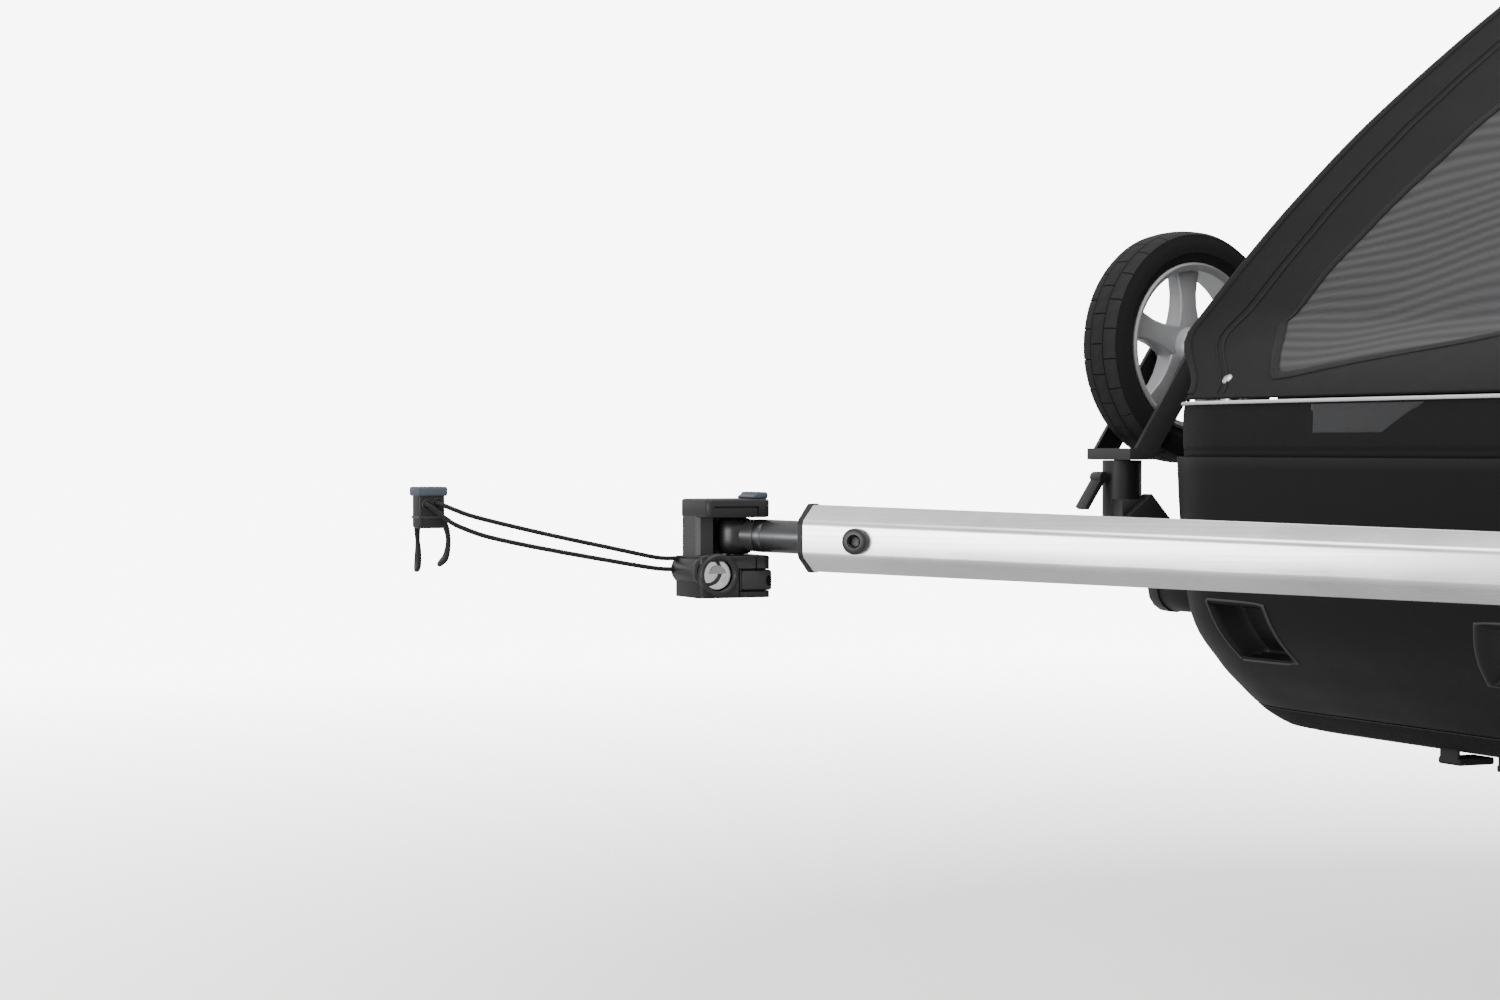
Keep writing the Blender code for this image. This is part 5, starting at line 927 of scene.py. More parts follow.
reflective = cloth("reflective_piping", (0.78, 0.78, 0.78), 0.0006, 0.00006, 0.0002, 0.35, on_map=False,
                   sheen=0.0, specular=0.6)
PIPING_OUT, PIPING_Z, PIPING_R = 0.0009, 0.3818, 0.0012
piping_path = nose_path(SKIRT_FRONT_X - PIPING_OUT, SKIRT_HALF_W + PIPING_OUT, SKIRT_BACK_X, PIPING_STEPS)
piping_line = [Vector((spot.x, spot.y, PIPING_Z)) for spot, _ in piping_path]
piece("skirt_piping", tube(piping_line, PIPING_R, 3), reflective, "chassis", ("front_piping",),
      60.0)
patch_cloth = cloth("patch_cloth", (0.030, 0.031, 0.033), 0.0006, 0.0001, 0.0006, 0.55, sheen=0.1,
                    specular=0.35)
patch_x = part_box("badge_plate")[0].x
PATCH_LEFT, PATCH_RIGHT, PATCH_SLANT = 0.049, -0.025, -0.041
PATCH_Z, PATCH_W, PATCH_H = 0.361, 0.11, 0.0185


def patch_place(u, v):
    """Patch on the nose, one end cut on the slant and its edges pressed down."""
    right = PATCH_RIGHT + PATCH_SLANT * v
    edge = min(u, 1 - u, v, 1 - v)
    return (Vector((patch_x + (0.0004 if edge < 0.03 else 0.0), PATCH_LEFT + (right - PATCH_LEFT) * u,
                    PATCH_Z + PATCH_H * v)), (u * PATCH_W, v * PATCH_H))


patch = piece("bare_patch", skin(60, 20, patch_place), patch_cloth, "chassis",
              ("badge_plate",), 60.0)
thicken(patch, PATCH_T)


# Canopy frame: one bent alloy tube hinged on a bar inside the nose. The front cover is cloth
# sleeved over it, sagging between its two sides, with a mesh window bound in the middle.
CANOPY = ((-0.2156, 0.3850), (-0.180, 0.4245), (-0.166, 0.440), (-0.128, 0.482), (-0.084, 0.527),
          (-0.017, 0.588), (0.086, 0.668), (0.200, 0.746), (0.320, 0.820), (0.440, 0.880), (0.545, 0.915))
SLEEVE_R, TUBE_Y, COVER_END_X, ROOF_END_X = 0.0118, 0.2632, 0.290, 0.483
WRAP = math.radians(112)
FOOT_HALF, FOOT_Z = 0.200, 0.436
CANOPY_LINE = eased([Vector(p) for p in CANOPY], 12)
CANOPY_RUN = runs(CANOPY_LINE)


def canopy_at(reach):
    """Point and outward direction of the canopy's side view, at a distance from the nose."""
    reach = min(max(reach, 0.0), CANOPY_RUN[-1] - 0.00001)
    k = next(i for i in range(len(CANOPY_RUN) - 1) if CANOPY_RUN[i + 1] > reach)
    a, b = CANOPY_LINE[k], CANOPY_LINE[k + 1]
    before, after = CANOPY_LINE[max(k - 3, 0)], CANOPY_LINE[min(k + 4, len(CANOPY_LINE) - 1)]
    run = (after - before).normalized()
    return a.lerp(b, (reach - CANOPY_RUN[k]) / (CANOPY_RUN[k + 1] - CANOPY_RUN[k])), Vector((-run.y, run.x))


def reach_of(value, axis=1):
    """Distance from the nose at which the canopy line has a height or an X."""
    return read([(p[axis], r) for p, r in zip(CANOPY_LINE, CANOPY_RUN)], value)


COVER_END, ROOF_START = reach_of(COVER_END_X, 0), reach_of(COVER_END_X + 0.0006, 0)
ROOF_END, FOOT_RUN = reach_of(ROOF_END_X, 0), reach_of(FOOT_Z)
SAG = 0.030


def cover_half(reach):
    """Half width of the flat cloth, and its turn radius, at a distance from the nose."""
    share = min(1.0, reach / FOOT_RUN)
    share = share * share * (3 - 2 * share)
    return FOOT_HALF + (TUBE_Y - FOOT_HALF) * share, 0.003 + (SLEEVE_R - 0.003) * share


def on_cover(across, reach, lift=0.0):
    """Point of the stretched cloth: across from the middle, and along from the nose."""
    spot, out = canopy_at(reach)
    half, radius = cover_half(reach)
    sign = 1.0 if across >= 0 else -1.0
    beyond = abs(across) - half
    if beyond <= 0:
        level = 1 - (across / half) ** 2
        ends = min(1.0, reach / 0.09) ** 1.5 * min(1.0, max(0.0, (CANOPY_RUN[-1] - reach) / 0.25))
        calm = min(1.0, (half - abs(across)) / 0.03) * min(1.0, reach / 0.02)
        ripple = 0.0012 * noise.noise(Vector((across * 9, reach * 22, 3.0))) * calm
        depth = lift - SAG * level * ends + ripple
        return Vector((spot.x + out.x * depth, across, spot.y + out.y * depth))
    angle = min(beyond / radius, WRAP)
    reach_out = radius + lift
    centre = spot - out * radius
    flat = centre + out * (reach_out * math.cos(angle))
    return Vector((flat.x, sign * (half + reach_out * math.sin(angle)), flat.y))


def cover_edge(reach):
    """Distance from the middle to where the cloth ends under the tube."""
    half, radius = cover_half(reach)
    return half + radius * WRAP


WINDOW_SIDE = ((0.179, 0.446), (0.1765, 0.482), (0.172, 0.519), (0.155, 0.605), (0.145, 0.760))
WINDOW_FOOT = ((-0.179, 0.446), (-0.150, 0.4435), (-0.110, 0.4415), (-0.070, 0.436), (0.017, 0.419),
               (0.060, 0.411), (0.100, 0.4035), (0.115, 0.402), (0.122, 0.4045), (0.150, 0.424),
               (0.179, 0.446))


def flat_point(y, z):
    """Place on the flat cloth of a point seen at a width and height."""
    return Vector((y, reach_of(z)))


WINDOW_RIGHT = [flat_point(*p) for p in WINDOW_SIDE]
WINDOW_LOW = [flat_point(*p) for p in WINDOW_FOOT]
WINDOW_TOP = [WINDOW_RIGHT[-1].copy(), Vector((-WINDOW_RIGHT[-1].x, WINDOW_RIGHT[-1].y))]


def window_loop(share):
    """Point on the window's edge, going round: low edge, right, top, left."""
    quarter = min(int(share * 4), 3)
    part = share * 4 - quarter
    if quarter < 3:
        return along_chain((WINDOW_LOW, WINDOW_RIGHT, WINDOW_TOP)[quarter], part)
    spot = along_chain(WINDOW_RIGHT, 1 - part)
    return Vector((-spot.x, spot.y))


def border_loop(share):
    """Point on the cover's outer edge that faces the same share of the window's edge."""
    quarter = min(int(share * 4), 3)
    part = share * 4 - quarter
    reach = COVER_END * (0.0, part, 1.0, 1 - part)[quarter]
    return Vector((cover_edge(reach) * (2 * part - 1, 1, 1 - 2 * part, -1)[quarter], reach))


def cover_place(u, v):
    """Ring of cloth from the window's edge to the cover's border."""
    inner, outer = window_loop(u), border_loop(u)
    flat = inner.lerp(outer, v)
    return on_cover(flat.x, flat.y), (flat.x, flat.y)


cover_cloth = cloth("cover_cloth", (0.0155, 0.0155, 0.0163), 0.0010, 0.00018, 0.0016, 0.82, sheen=0.06,
                    specular=0.08)
cover = piece("front_cover_cloth", skin(320, 34, cover_place, loop=True), cover_cloth,
              "canopy", ("front_cover",), 60.0)
thicken(cover, CLOTH_T)


def band(start, finish, width, lift, loop=False, count=200):
    """Tape laid on the cover between two edges given as rules of one share."""
    def place(u, v):
        flat = start(u).lerp(finish(u), v)
        crown = math.sin(math.pi * v) * 0.0003
        return on_cover(flat.x, flat.y, lift + crown), (u * 1.2, v * width)
    return skin(count, 6, place, loop)


tape_cloth = cloth("tape_cloth", (0.0105, 0.0105, 0.0110), 0.0011, 0.00025, 0.0004, 0.74, sheen=0.08,
                   specular=0.14)


def binding_edge(grow):
    """Line round the window, a set distance out from its edge."""
    def edge(share):
        spot, far = window_loop(share), border_loop(share)
        return spot + (far - spot).normalized() * grow
    return edge


binding_bm = band(binding_edge(-0.001), binding_edge(0.0065), 0.0075, 0.0006, True, 320)
piece("window_binding", binding_bm, tape_cloth, "canopy", (), 60.0)


def side_line(sign, offset):
    """Line up the cover, a set distance in from the tube's middle."""
    def edge(share):
        reach = 0.004 + (COVER_END - 0.006) * share
        return Vector((sign * (cover_half(reach)[0] - offset), reach))
    return edge


tapes = [band(side_line(sign, outer), side_line(sign, inner), outer - inner, lift)
         for outer, inner, lift in ((0.0430, 0.0405, 0.0005), (0.0060, -0.0010, 0.0006),
                                    (0.0355, 0.0340, 0.0008)) for sign in (1, -1)]
piece("cover_seams", together(*tapes), tape_cloth, "canopy", (), 60.0)


alloy = hard("tube_anodised", (0.80, 0.80, 0.81), 0.30, 1400.0, 0.00002, 0.2, metallic=1.0)
STUD_Y, STUD_REACH = 0.169, reach_of(0.398)
stud_out = canopy_at(STUD_REACH)[1]
stud_bm = together(*[turned(((0.0, 0.0016), (0.0030, 0.0014), (0.0040, 0.0006), (0.0042, -0.0004),
                             (0.0, -0.0004)),
                            on_cover(sign * STUD_Y, STUD_REACH), (stud_out.x, 0.0, stud_out.y), 24,
                            closed=False) for sign in (1, -1)])
piece("cover_studs", stud_bm, alloy, "canopy", (), 40.0)


def make_net(name):
    """Open net: light threads over holes painted dark as the shade of the cabin behind, with slow light and
    dark bands of painted moiré sheen.
    """
    mat, tree, shader = new_material(name)
    split = node(tree, "SeparateXYZ", {0: node(tree, "TexCoord").outputs["UV"]})
    u, v = split.outputs[0], split.outputs[1]
    pitch = math.tau / 0.0022
    lines = [sums(tree, "SINE", sums(tree, "MULTIPLY", way, pitch))
             for way in (sums(tree, "ADD", u, v), sums(tree, "SUBTRACT", u, v))]
    holes = spread(tree, sums(tree, "MULTIPLY", *lines), -0.15, 0.35)
    place = node(tree, "TexCoord").outputs["Object"]
    swirl = node(tree, "TexNoise", {"Vector": place, "Scale": 3.5, "Detail": 1.0}).outputs[0]
    # Painted sheen: slow light and dark moiré bands that scale the net's colour.
    moire_sheen_bands = sums(tree, "SINE", sums(tree, "MULTIPLY_ADD", swirl, 90.0,
                                   sums(tree, "MULTIPLY_ADD", v, 520.0, sums(tree, "MULTIPLY", u, 150.0))))
    shade = spread(tree, moire_sheen_bands, -1.0, 1.0, 0.70, 1.34)
    # The holes' dark colour is painted shade of the cabin seen through them.
    base = blended(tree, holes, (0.070, 0.070, 0.072, 1), (0.020, 0.020, 0.021, 1))
    scaled = node(tree, "VectorMath", {0: base, "Scale": shade}, operation="SCALE")
    raised = node(tree, "Bump", {"Strength": 0.5, "Distance": 0.0004,
                                 "Height": sums(tree, "SUBTRACT", 1.0, holes)})
    feed(tree, shader, {"Base Color": scaled.outputs[0], "Normal": raised.outputs[0], "Roughness": 0.7,
                        "Sheen Weight": 0.12, "Specular IOR Level": 0.12})
    return mat


def net_place(u, v):
    """Patch stretched between the window's four edges."""
    low, top = along_chain(WINDOW_LOW, u), along_chain(list(reversed(WINDOW_TOP)), u)
    right = along_chain(WINDOW_RIGHT, v)
    left = Vector((-right.x, right.y))
    c00, c10, c01, c11 = WINDOW_LOW[0], WINDOW_LOW[-1], WINDOW_TOP[1], WINDOW_TOP[0]
    flat = low * (1 - v) + top * v + left * (1 - u) + right * u
    flat -= c00 * (1 - u) * (1 - v) + c10 * u * (1 - v) + c01 * (1 - u) * v + c11 * u * v
    return on_cover(flat.x * 1.012, flat.y, -0.0008), (flat.x, flat.y)


window_net = piece("window_net", skin(90, 110, net_place), make_net("window_net"), "canopy",
                   ("front_mesh",), 60.0)
thicken(window_net, NET_T)

HINGE_X, HINGE_Y, HINGE_Z, BEND_R = -0.145, 0.248, 0.372, 0.05
PEG_X, PEG_Z, TUBE_START, TUBE_R = 0.470, 0.87759, 0.085, 0.010
tube_side = []
for reach in [TUBE_START + (CANOPY_RUN[-1] - TUBE_START) * i / 60 for i in range(61)]:
    spot, out = canopy_at(reach)
    centre = spot - out * SLEEVE_R
    tube_side.append(Vector((centre.x, TUBE_Y, centre.y)))
rear_at = tube_side[-1]
tube_side = [p for p in tube_side if (rear_at - p).length > BEND_R]
into = (rear_at - tube_side[-1]).normalized()
corner = []
for i in range(11):
    turn = math.pi * i / 20
    back = into * BEND_R * (1 - math.sin(turn))
    corner.append(rear_at - back - Vector((0, BEND_R * (1 - math.cos(turn)), 0)))
hinge_at = Vector((HINGE_X, HINGE_Y, HINGE_Z))
half_loop = [hinge_at, hinge_at.lerp(tube_side[0], 0.5)] + tube_side + corner
frame_line = half_loop + [Vector((p.x, -p.y, p.z)) for p in reversed(half_loop)]
eyes = [turned(((0.0043, -0.0095), (0.0105, -0.0095), (0.011, -0.009), (0.011, 0.009), (0.0105, 0.0095),
                (0.0043, 0.0095)), (HINGE_X, sign * HINGE_Y, HINGE_Z), (0, 1, 0), 40) for sign in (1, -1)]
pegs = [shaft((PEG_X, sign * 0.258, PEG_Z), (PEG_X, sign * 0.2316, PEG_Z), 0.005, 32, 0.0008)
        for sign in (1, -1)]
piece("canopy_tube", together(tube(frame_line, TUBE_R, 6), *eyes, *pegs), alloy, "canopy",
      ("canopy_frame",), 50.0)
piece("nose_hinge_bar", from_cad("nose_bar", 0.0006), grey_metal, "chassis", ("nose_bar",))


def roof_place(u, v):
    """Roof cloth, carried on from the cover to the rear tube."""
    reach = ROOF_START + (ROOF_END - ROOF_START) * v
    across = cover_edge(reach) * (2 * u - 1)
    return on_cover(across, reach), (across, reach)


roof = piece("roof_cloth", skin(140, 40, roof_place), cover_cloth, "canopy", ("roof_panel",),
             60.0)
thicken(roof, CLOTH_T)


# Cabin sides and back: cloth stretched from the tub's rim to the canopy tube, with a clear
# window welded into each side.
SIDE_Y, SIDE_LOW_Z, SIDE_DROP = 0.2746, 0.3475, 0.0256
BACK_EDGE = ((0.480, 0.8436), (0.572, SIDE_LOW_Z + 0.0005))
UPRIGHT_TOP, UPRIGHT_FOOT = Vector((PEG_X, PEG_Z)), Vector((0.560, 0.345))
SIDE_EDGE = []
for step in range(81):
    spot, out = canopy_at(CANOPY_RUN[-1] * step / 80)
    SIDE_EDGE.append((spot.x - out.x * SIDE_DROP, spot.y - out.y * SIDE_DROP))


def side_top(x):
    """Height of the side cloth's upper edge."""
    return read(SIDE_EDGE if x <= BACK_EDGE[0][0] else BACK_EDGE, x)


SIDE_FRONT_X, SIDE_REAR_X = -0.092, 0.572


def side_spot(u, v, sign, inset=0.0):
    """Point of the side cloth, with a little slack in its middle."""
    x = SIDE_FRONT_X + (SIDE_REAR_X - SIDE_FRONT_X) * u
    top = max(side_top(x), SIDE_LOW_Z + 0.001)
    z = SIDE_LOW_Z + (top - SIDE_LOW_Z) * v
    slack = math.sin(math.pi * u) * math.sin(math.pi * v)
    pull = 0.0022 * noise.noise(Vector((x * 11, z * 14, 7.0 + sign))) * min(1.0, slack * 3)
    y = SIDE_Y - 0.010 * slack + pull - inset
    return Vector((x, sign * y, z)), (x, z)


SIDE_WINDOW = ((0.10, 0.46), (0.20, 0.58), (0.33, 0.70), (0.405, 0.745), (0.425, 0.70), (0.450, 0.52),
               (0.435, 0.47), (0.38, 0.45), (0.15, 0.44))


def inside(spot, outline):
    """Whether a flat point lies inside an outline."""
    hit = False
    for (x0, y0), (x1, y1) in zip(outline, outline[1:] + outline[:1]):
        if (y0 > spot[1]) != (y1 > spot[1]) and spot[0] < (x1 - x0) * (spot[1] - y0) / (y1 - y0) + x0:
            hit = not hit
    return hit


def seen_at(face):
    """Middle of a face, seen from the side."""
    spot = face.calc_center_median()
    return spot.x, spot.z


window_route = [Vector(p) for p in (SIDE_WINDOW[-1], *SIDE_WINDOW, *SIDE_WINDOW[:2])]
window_line = [(p.x, p.y) for p in eased(window_route, 8)][8:8 + 8 * len(SIDE_WINDOW)]
ring = window_line + window_line[:1]
WINDOW_MIDDLE, TRIM_W, TRIM_LAP = Vector((0.27, 0.57)), 0.014, 0.006
FILM_X, FILM_Z, FILM_GROW = 0.26, 0.57, 1.06
film_line = [(FILM_X + (x - FILM_X) * FILM_GROW, FILM_Z + (z - FILM_Z) * FILM_GROW) for x, z in window_line]
clear_film, film_tree, film = new_material("clear_film")
film_wave = node(film_tree, "TexNoise", {"Vector": node(film_tree, "TexCoord").outputs["Object"],
                                         "Scale": 14.0, "Detail": 2.0}).outputs[0]
film_bump = node(film_tree, "Bump", {"Strength": 0.4, "Distance": 0.002, "Height": film_wave}).outputs[0]
feed(film_tree, film, {"Base Color": (0.20, 0.21, 0.22, 1), "Roughness": 0.08, "Coat Weight": 0.5,
                       "Alpha": 0.45, "Normal": film_bump})
for word, sign in SIDES:
    bm = skin(160, 110, lambda u, v: side_spot(u, v, sign))
    doomed = [f for f in bm.faces if inside(seen_at(f), window_line)]
    bmesh.ops.delete(bm, geom=doomed, context="FACES")
    side_cloth = piece("side_cloth_" + word, bm, cover_cloth, "chassis",
                       ("side_panel_" + word,), 60.0)
    thicken(side_cloth, CLOTH_T, 0.0)
    film_bm = skin(60, 40, lambda u, v: side_spot(0.28 + 0.54 * u, 0.08 + 0.86 * v, sign, 0.0012))
    outside = [f for f in film_bm.faces if not inside(seen_at(f), film_line)]
    bmesh.ops.delete(film_bm, geom=outside, context="FACES")
    side_film = piece("side_window_" + word, film_bm, clear_film, "chassis", (), 60.0)

    def trim_place(u, v, sign=sign):
        """Tape round the window."""
        k = round(u * (len(ring) - 1))
        spot = Vector(ring[k])
        flat = spot + (spot - WINDOW_MIDDLE).normalized() * (TRIM_W * v - TRIM_LAP)
        share_u = (flat.x - SIDE_FRONT_X) / (SIDE_REAR_X - SIDE_FRONT_X)
        share_v = min(1.0, (flat.y - SIDE_LOW_Z) / (side_top(flat.x) - SIDE_LOW_Z))
        lift = 0.0009 + 0.0004 * math.sin(math.pi * v)
        return side_spot(share_u, share_v, sign, -lift)[0], (k * 0.01, v * TRIM_W)
    side_trim = piece("side_trim_" + word, skin(len(ring) - 1, 6, trim_place, loop=True), tape_cloth,
                      "chassis", (), 60.0)
    for soft in (side_cloth, side_film, side_trim):
        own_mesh(soft)


REAR_HALF_W, REAR_Z, REAR_L = 0.2318, (0.348, 0.8476), 0.51


def rear_place(u, v):
    """Rear cloth between the uprights, bowed a little inward."""
    across = REAR_HALF_W * (2 * u - 1)
    low, high = Vector((UPRIGHT_FOOT.x, REAR_Z[0])), Vector((UPRIGHT_TOP.x + 0.001, REAR_Z[1]))
    spot = low.lerp(high, v)
    slack = (1 - (2 * u - 1) ** 2) * math.sin(math.pi * v)
    bow = 0.012 * slack + 0.002 * noise.noise(Vector((across * 8, v * 6, 1.0))) * min(1.0, slack * 3)
    return Vector((spot.x - bow, across, spot.y)), (across, v * REAR_L)


rear_cloth = piece("rear_cloth", skin(110, 90, rear_place), cover_cloth, "chassis",
                   ("rear_panel",), 60.0)
thicken(rear_cloth, CLOTH_T, 0.0)
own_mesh(rear_cloth)
for word, _ in SIDES:
    piece("rear_upright_" + word, from_cad("upright_" + word, 0.0005, 2, 40.0), alloy,
          "uprights", ("upright_" + word,), 50.0)


# Seats: a bench and two backrests of foam in woven covers, swollen between their seams, each
# with a five-point harness of black webbing and a side-squeeze buckle.
SEAT_FOOT_Z, SEAT_KEEP, BENCH_TOP_Z, BENCH_ROOM = 0.22, 0.25, 0.30, 0.005
SWELL_FRAMES, SWELL_MAX, SWELL_PRESSURE, SWELL_GRID = 20, 0.005, 4.0, 0.006
seat_cloth = cloth("seat_cloth", (0.070, 0.074, 0.082), 0.0014, 0.0003, 0.0015, 0.9, on_map=False, sheen=0.35)


def cushion(name, bm, nodes):
    """Foam pad in a sewn cover: swollen by cloth under pressure, then smoothed."""
    obj = piece(name, bm, seat_cloth, None, nodes, 60.0)
    remesh = obj.modifiers.new("even", "REMESH")
    remesh.mode = "VOXEL"
    remesh.voxel_size = SWELL_GRID
    baked = bpy.data.meshes.new_from_object(obj.evaluated_get(bpy.context.evaluated_depsgraph_get()))
    obj.modifiers.clear()
    obj.data = baked
    start = [v.co.copy() for v in obj.data.vertices]
    sim = obj.modifiers.new("swell", "CLOTH")
    sim.settings.use_pressure = True
    sim.settings.uniform_pressure_force = SWELL_PRESSURE
    sim.settings.effector_weights.gravity = 0.0
    sim.settings.quality = 5
    sim.point_cache.frame_start, sim.point_cache.frame_end = 1, SWELL_FRAMES
    for tick in range(1, SWELL_FRAMES + 1):
        bpy.context.scene.frame_set(tick)
    held = bpy.data.meshes.new_from_object(obj.evaluated_get(bpy.context.evaluated_depsgraph_get()))
    obj.modifiers.clear()
    for vert, before in zip(held.vertices, start):
        move = vert.co - before
        if move.length > SWELL_MAX:
            vert.co = before + move.normalized() * SWELL_MAX
    bm = bmesh.new()
    bm.from_mesh(held)
    bmesh.ops.smooth_vert(bm, verts=bm.verts, factor=0.5, use_axis_x=True, use_axis_y=True,
                          use_axis_z=True)
    bm.to_mesh(obj.data)
    bm.free()
    obj.data.shade_smooth()
    bpy.context.scene.frame_set(1)
    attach(obj, "chassis")
    return obj


def shrunk(bm, middle, scale):
    """Draw a pad in about its middle, to leave room for its swell."""
    for vert in bm.verts:
        for axis in range(3):
            vert.co[axis] = middle[axis] + (vert.co[axis] - middle[axis]) * scale[axis]


bench_low, bench_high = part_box("seat_bench")
bench_bm = from_cad("seat_bench", 0.006, 3)
shrunk(bench_bm, (bench_low + bench_high) / 2, (0.985, 0.985, 1.0))
for vert in bench_bm.verts:
    if vert.co.z > BENCH_TOP_Z:
        vert.co.z -= BENCH_ROOM
cushion("bench_pad", bench_bm, ("seat_bench",))
for word, _ in SIDES:
    back_bm = from_cad("backrest_" + word, 0.006, 3)
    low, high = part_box("backrest_" + word)
    shrunk(back_bm, (low + high) / 2, (0.97, 0.95, 0.985))
    back = cushion("back_pad_" + word, back_bm, ("backrest_" + word,))
    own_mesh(back)
    straps = piece("harness_webbing_" + word, from_cad("harness_" + word, 0.0006), black_plastic,
                   "chassis", ("harness_" + word,))
    straps.data.materials[0] = tape_cloth
    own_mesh(straps)


# Push handlebar: bent alloy tube on two hubs round the canopy's rear tube, with a ribbed
# foam grip and a blue-grey button that frees its tilt.
piece("push_bar_tube", from_cad("handlebar", 0.0006, 2, 40.0), alloy, "push_bar", ("handlebar",),
      50.0)
grip_foam = hard("grip_foam", (0.018, 0.018, 0.019), 0.92, 420.0, 0.0004, 0.1, specular=0.2)
piece("push_grip", from_cad("handle_grip", 0.0010, 2, 40.0), grip_foam, "push_bar",
      ("handle_grip",), 50.0)
piece("push_button", from_cad("handle_button", 0.0), blue_grey, "bar_button", ("handle_button",))


# Axle frame and road wheels: 20-inch spoked wheels on quick-release stub axles, each with a
# rim of polished alloy, a hub with two flanges, twenty spokes and a treaded tyre.
piece("axle_weldment", from_cad("axle_frame", 0.0010, 2, 40.0), alloy, "chassis",
      ("axle_frame",), 50.0)
tyre_rubber = hard("tyre_rubber", (0.012, 0.012, 0.012), 0.82, 500.0, 0.00015, 0.2, specular=0.25)
rim_alloy = hard("rim_alloy", (0.78, 0.78, 0.79), 0.22, 1200.0, 0.00002, 0.1, metallic=1.0)
AXLE_X, AXLE_Z, WHEEL_Y, BED_R, BEAD_HALF_W = 0.400, 0.250, 0.375, 0.1895, 0.0125
SPOKES, SPOKE_CROSS, FLANGE_R, FLANGE_Y = 20, 0.55, 0.0212, 0.0235


def road_tyre(centre):
    """Tyre with a round casing and a tread of raised blocks."""
    arc = [(0.2058, 0.0138), (0.2100, 0.0185), (0.2180, 0.0222), (0.2270, 0.0235), (0.2360, 0.0222),
           (0.2425, 0.0180), (0.2465, 0.0120)]
    tread = [(0.2482, 0.0085), (0.2484, 0.0045), (0.2485, 0.0)]
    upper = arc + tread
    bm = turned(upper + [(r, -a) for r, a in reversed(upper[:-1])], centre, (0, 1, 0), 180)
    blocks = []
    for face in bm.faces:
        spot = face.calc_center_median() - centre
        radius = math.hypot(spot.x, spot.z)
        step = round((math.degrees(math.atan2(spot.z, spot.x)) % 360) / 2.0 - 0.5)
        row = int(abs(spot.y) / 0.0046)
        if radius > 0.2440 and (step + row) % 3 != 0:
            blocks.append(face)
    bmesh.ops.inset_individual(bm, faces=blocks, thickness=0.0006, depth=0.0015, use_even_offset=True)
    return bm


def road_wheel(centre):
    """Rim, hub and crossed spokes."""
    half = BEAD_HALF_W
    rim = turned(((0.2045, -half), (0.2045, -half + 0.0015), (0.1990, -half + 0.0020), (0.1975, -0.004),
                  (0.1975, 0.004), (0.1990, half - 0.0020), (0.2045, half - 0.0015), (0.2045, half),
                  (0.1960, half), (0.1895, 0.0060), (0.1880, 0.0), (0.1895, -0.0060), (0.1960, -half)),
                 centre, (0, 1, 0), 144)
    hub = turned(((0.0063, -0.0295), (0.0130, -0.0295), (0.0140, -0.0285), (0.0140, -0.0258),
                  (0.0230, -0.0255), (0.0240, -0.0245), (0.0240, -0.0225), (0.0230, -0.0215),
                  (0.0140, -0.0205), (0.0118, -0.0120), (0.0112, 0.0), (0.0118, 0.0120), (0.0140, 0.0205),
                  (0.0230, 0.0215), (0.0240, 0.0225), (0.0240, 0.0245), (0.0230, 0.0255), (0.0140, 0.0258),
                  (0.0140, 0.0285), (0.0130, 0.0295), (0.0078, 0.0295), (0.0078, 0.0215), (0.0063, 0.0215)),
                 centre, (0, 1, 0), 64)
    parts = [rim, hub]
    for i in range(SPOKES):
        angle = math.tau * (i + 0.5) / SPOKES
        out = Vector((math.cos(angle), 0, math.sin(angle)))
        crossed = angle + (SPOKE_CROSS if i % 4 < 2 else -SPOKE_CROSS)
        lean = Vector((math.cos(crossed), 0, math.sin(crossed)))
        flange = Vector((0, FLANGE_Y if i % 2 else -FLANGE_Y, 0))
        start, end = centre + lean * FLANGE_R + flange, centre + out * BED_R
        parts.append(shaft(start, end, 0.0010, 8))
        parts.append(shaft(end - (end - start).normalized() * 0.011, end, 0.0019, 10, 0.0004))
    out = Vector((math.cos(0.05), 0, math.sin(0.05)))
    parts.append(shaft(centre + out * 0.1905, centre + out * 0.1565, 0.0026, 16, 0.0008))
    return together(*parts)


for word, sign in SIDES:
    centre = Vector((AXLE_X, sign * WHEEL_Y, AXLE_Z))
    piece("road_tyre_" + word, road_tyre(centre), tyre_rubber, "wheel_" + word,
          ("tyre_" + word,), 40.0)
    piece("road_wheel_" + word, road_wheel(centre), rim_alloy, "wheel_" + word,
          ("wheel_" + word,), 40.0)
    low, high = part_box("wheel_button_" + word)
    start_y, end_y = (low.y, high.y) if sign > 0 else (high.y, low.y)
    button = shaft((AXLE_X, start_y, AXLE_Z), (AXLE_X, end_y, AXLE_Z), 0.0074, 40, 0.0012)
    piece("release_button_" + word, button, black_plastic, "release_" + word,
          ("wheel_button_" + word,))
    piece("brake_bolt_pin_" + word, from_cad("brake_pin_" + word, 0.0006, 2, 40.0), grey_metal,
          "brake_pin_" + word, ("brake_pin_" + word,), 50.0)


# Stroller wheels: shown stowed beside the nose. Each has a grey five-spoke rim with a
# lipped bead, a black tyre with hexagonal tread blocks, a moulded fork and a swivel lock.
CASTER_X, CASTER_Y, CASTER_Z, CASTER_TOE = -0.139, 0.325, 0.424, math.radians(11.3)
SPOKE_IN, SPOKE_L = 0.0115, 0.0440
caster_grey = hard("caster_rim_grey", (0.46, 0.465, 0.475), 0.38, 900.0, 0.00004, 0.3, metallic=0.35)


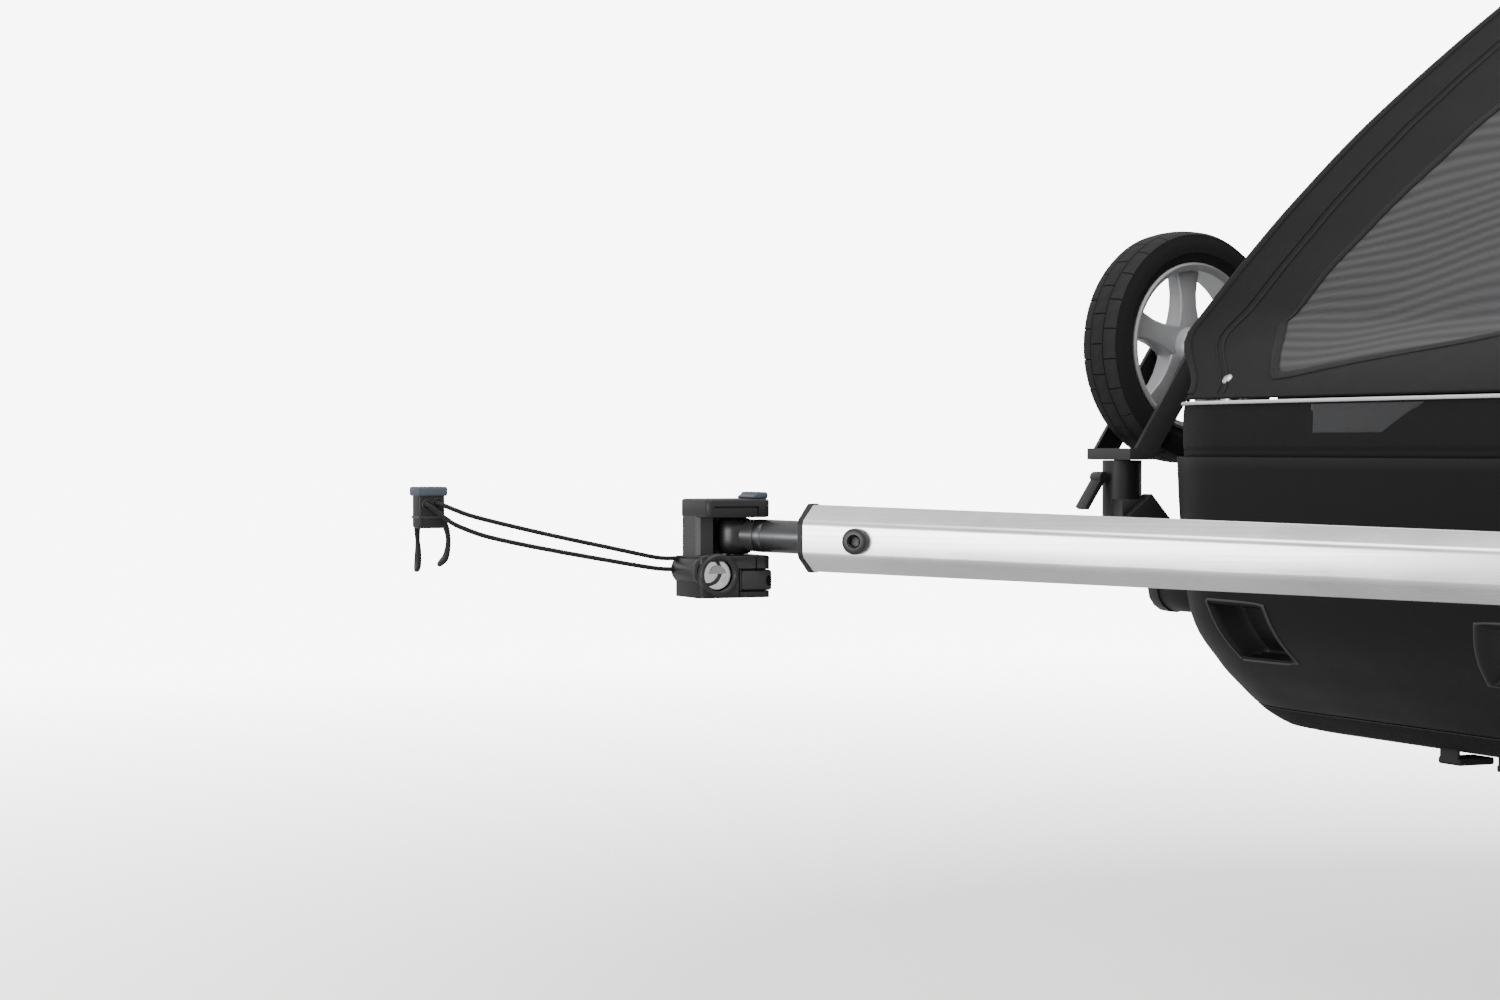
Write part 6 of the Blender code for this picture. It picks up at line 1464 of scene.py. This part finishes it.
def caster_tyre(centre, axis):
    """Smooth casing with three rows of long six-sided pads parted by narrow grooves."""
    arc = [(0.0604, 0.0132), (0.0640, 0.0158), (0.0665, 0.0169), (0.0668, 0.0174), (0.0700, 0.0178),
           (0.0755, 0.0178), (0.0787, 0.0163)]
    tread = [(0.0806, 0.0128), (0.0815, 0.0062), (0.0818, 0.0)]
    upper = arc + tread
    bm = turned(upper + [(r, -a) for r, a in reversed(upper[:-1])], centre, axis, 96)
    side = axis.orthogonal().normalized()
    other = axis.cross(side)
    pads = {}
    for face in bm.faces:
        spot = face.calc_center_median() - centre
        offset = spot.dot(axis)
        if (spot - axis * offset).length > 0.0780:
            row = 0 if abs(offset) < 0.0062 else int(math.copysign(1, offset))
            turn = math.degrees(math.atan2(spot.dot(other), spot.dot(side))) % 360
            pads.setdefault((row, int((turn + 7.5 * abs(row)) % 360 / 15)), []).append(face)
    for key in sorted(pads):
        bmesh.ops.inset_region(bm, faces=pads[key], thickness=0.0005, depth=0.0011, use_even_offset=True,
                               use_boundary=True)
    return bm


def caster_rim(centre, axis):
    """Lipped bead, hub and five flared spokes."""
    bead = turned(((0.0600, -0.0140), (0.0600, 0.0140), (0.0585, 0.0150), (0.0565, 0.0140), (0.0545, 0.0120),
                   (0.0535, 0.0), (0.0545, -0.0120), (0.0565, -0.0140), (0.0585, -0.0150)), centre, axis, 96)
    hub = turned(((0.0043, -0.0170), (0.0110, -0.0170), (0.0120, -0.0160), (0.0150, -0.0060),
                  (0.0150, 0.0060), (0.0120, 0.0160), (0.0110, 0.0170), (0.0043, 0.0170)), centre, axis, 48)
    parts = [bead, hub]
    across = Vector((0, 0, 1)).cross(axis).normalized()
    for i in range(5):
        angle = math.tau * (i + 0.25) / 5
        out = across * math.cos(angle) + Vector((0, 0, 1)) * math.sin(angle)
        along = out.cross(axis).normalized()
        bm = block((-0.5, -0.5, -0.5), (0.5, 0.5, 0.5))
        for vert in bm.verts:
            share = vert.co.x + 0.5
            wide = 0.0075 + 0.0045 * (2 * share - 1) ** 2
            deep = 0.0080 - 0.0025 * share
            spot = centre + out * (SPOKE_IN + SPOKE_L * share)
            vert.co = spot + along * (vert.co.y * 2 * wide) + axis * (vert.co.z * 2 * deep)
        lengthwise = [e for e in bm.edges if abs((e.verts[0].co - e.verts[1].co).normalized().dot(out)) > 0.9]
        bmesh.ops.subdivide_edges(bm, edges=lengthwise, cuts=4, use_grid_fill=True)
        for vert in bm.verts:
            share = ((vert.co - centre).dot(out) - SPOKE_IN) / SPOKE_L
            pinch = 1 - 0.35 * math.sin(math.pi * min(max(share, 0), 1))
            offset = (vert.co - centre).dot(along)
            vert.co += along * offset * (pinch - 1)
        keen = [e for e in bm.edges if len(e.link_faces) == 2 and e.calc_face_angle() > 0.8]
        bmesh.ops.bevel(bm, geom=keen, offset=0.0018, segments=3, affect="EDGES", profile=0.5, material=-1)
        bmesh.ops.recalc_face_normals(bm, faces=bm.faces)
        parts.append(bm)
    return together(*parts)


for word, sign in SIDES:
    centre = Vector((CASTER_X, sign * CASTER_Y, CASTER_Z))
    axis = Vector((-math.sin(CASTER_TOE), sign * math.cos(CASTER_TOE), 0.0)).normalized()
    piece("stroller_tyre_" + word, caster_tyre(centre, axis), tyre_rubber,
          "caster_wheel_" + word, ("caster_tyre_" + word,), 40.0)
    piece("stroller_rim_" + word, caster_rim(centre, axis), caster_grey, "caster_wheel_" + word,
          ("caster_rim_" + word,), 40.0)
    for part in ("arm", "fork", "lever"):
        node_name = "caster_%s_%s" % (part, word)
        piece("stroller_%s_%s" % (part, word), from_cad(node_name, 0.0008, 3), black_plastic,
              node_name, (node_name,))


# Fold levers and brake pedal: moulded levers on the tub's ears that free the uprights, and
# the foot pedal at the back that pushes both brake pins.
for word, _ in SIDES:
    piece("fold_catch_" + word, from_cad("fold_lever_" + word, 0.0008, 2), blue_grey,
          "fold_lever_" + word, ("fold_lever_" + word,))
piece("brake_foot_pedal", from_cad("brake_pedal", 0.0010, 2), black_plastic, "brake_foot",
      ("brake_pedal",))
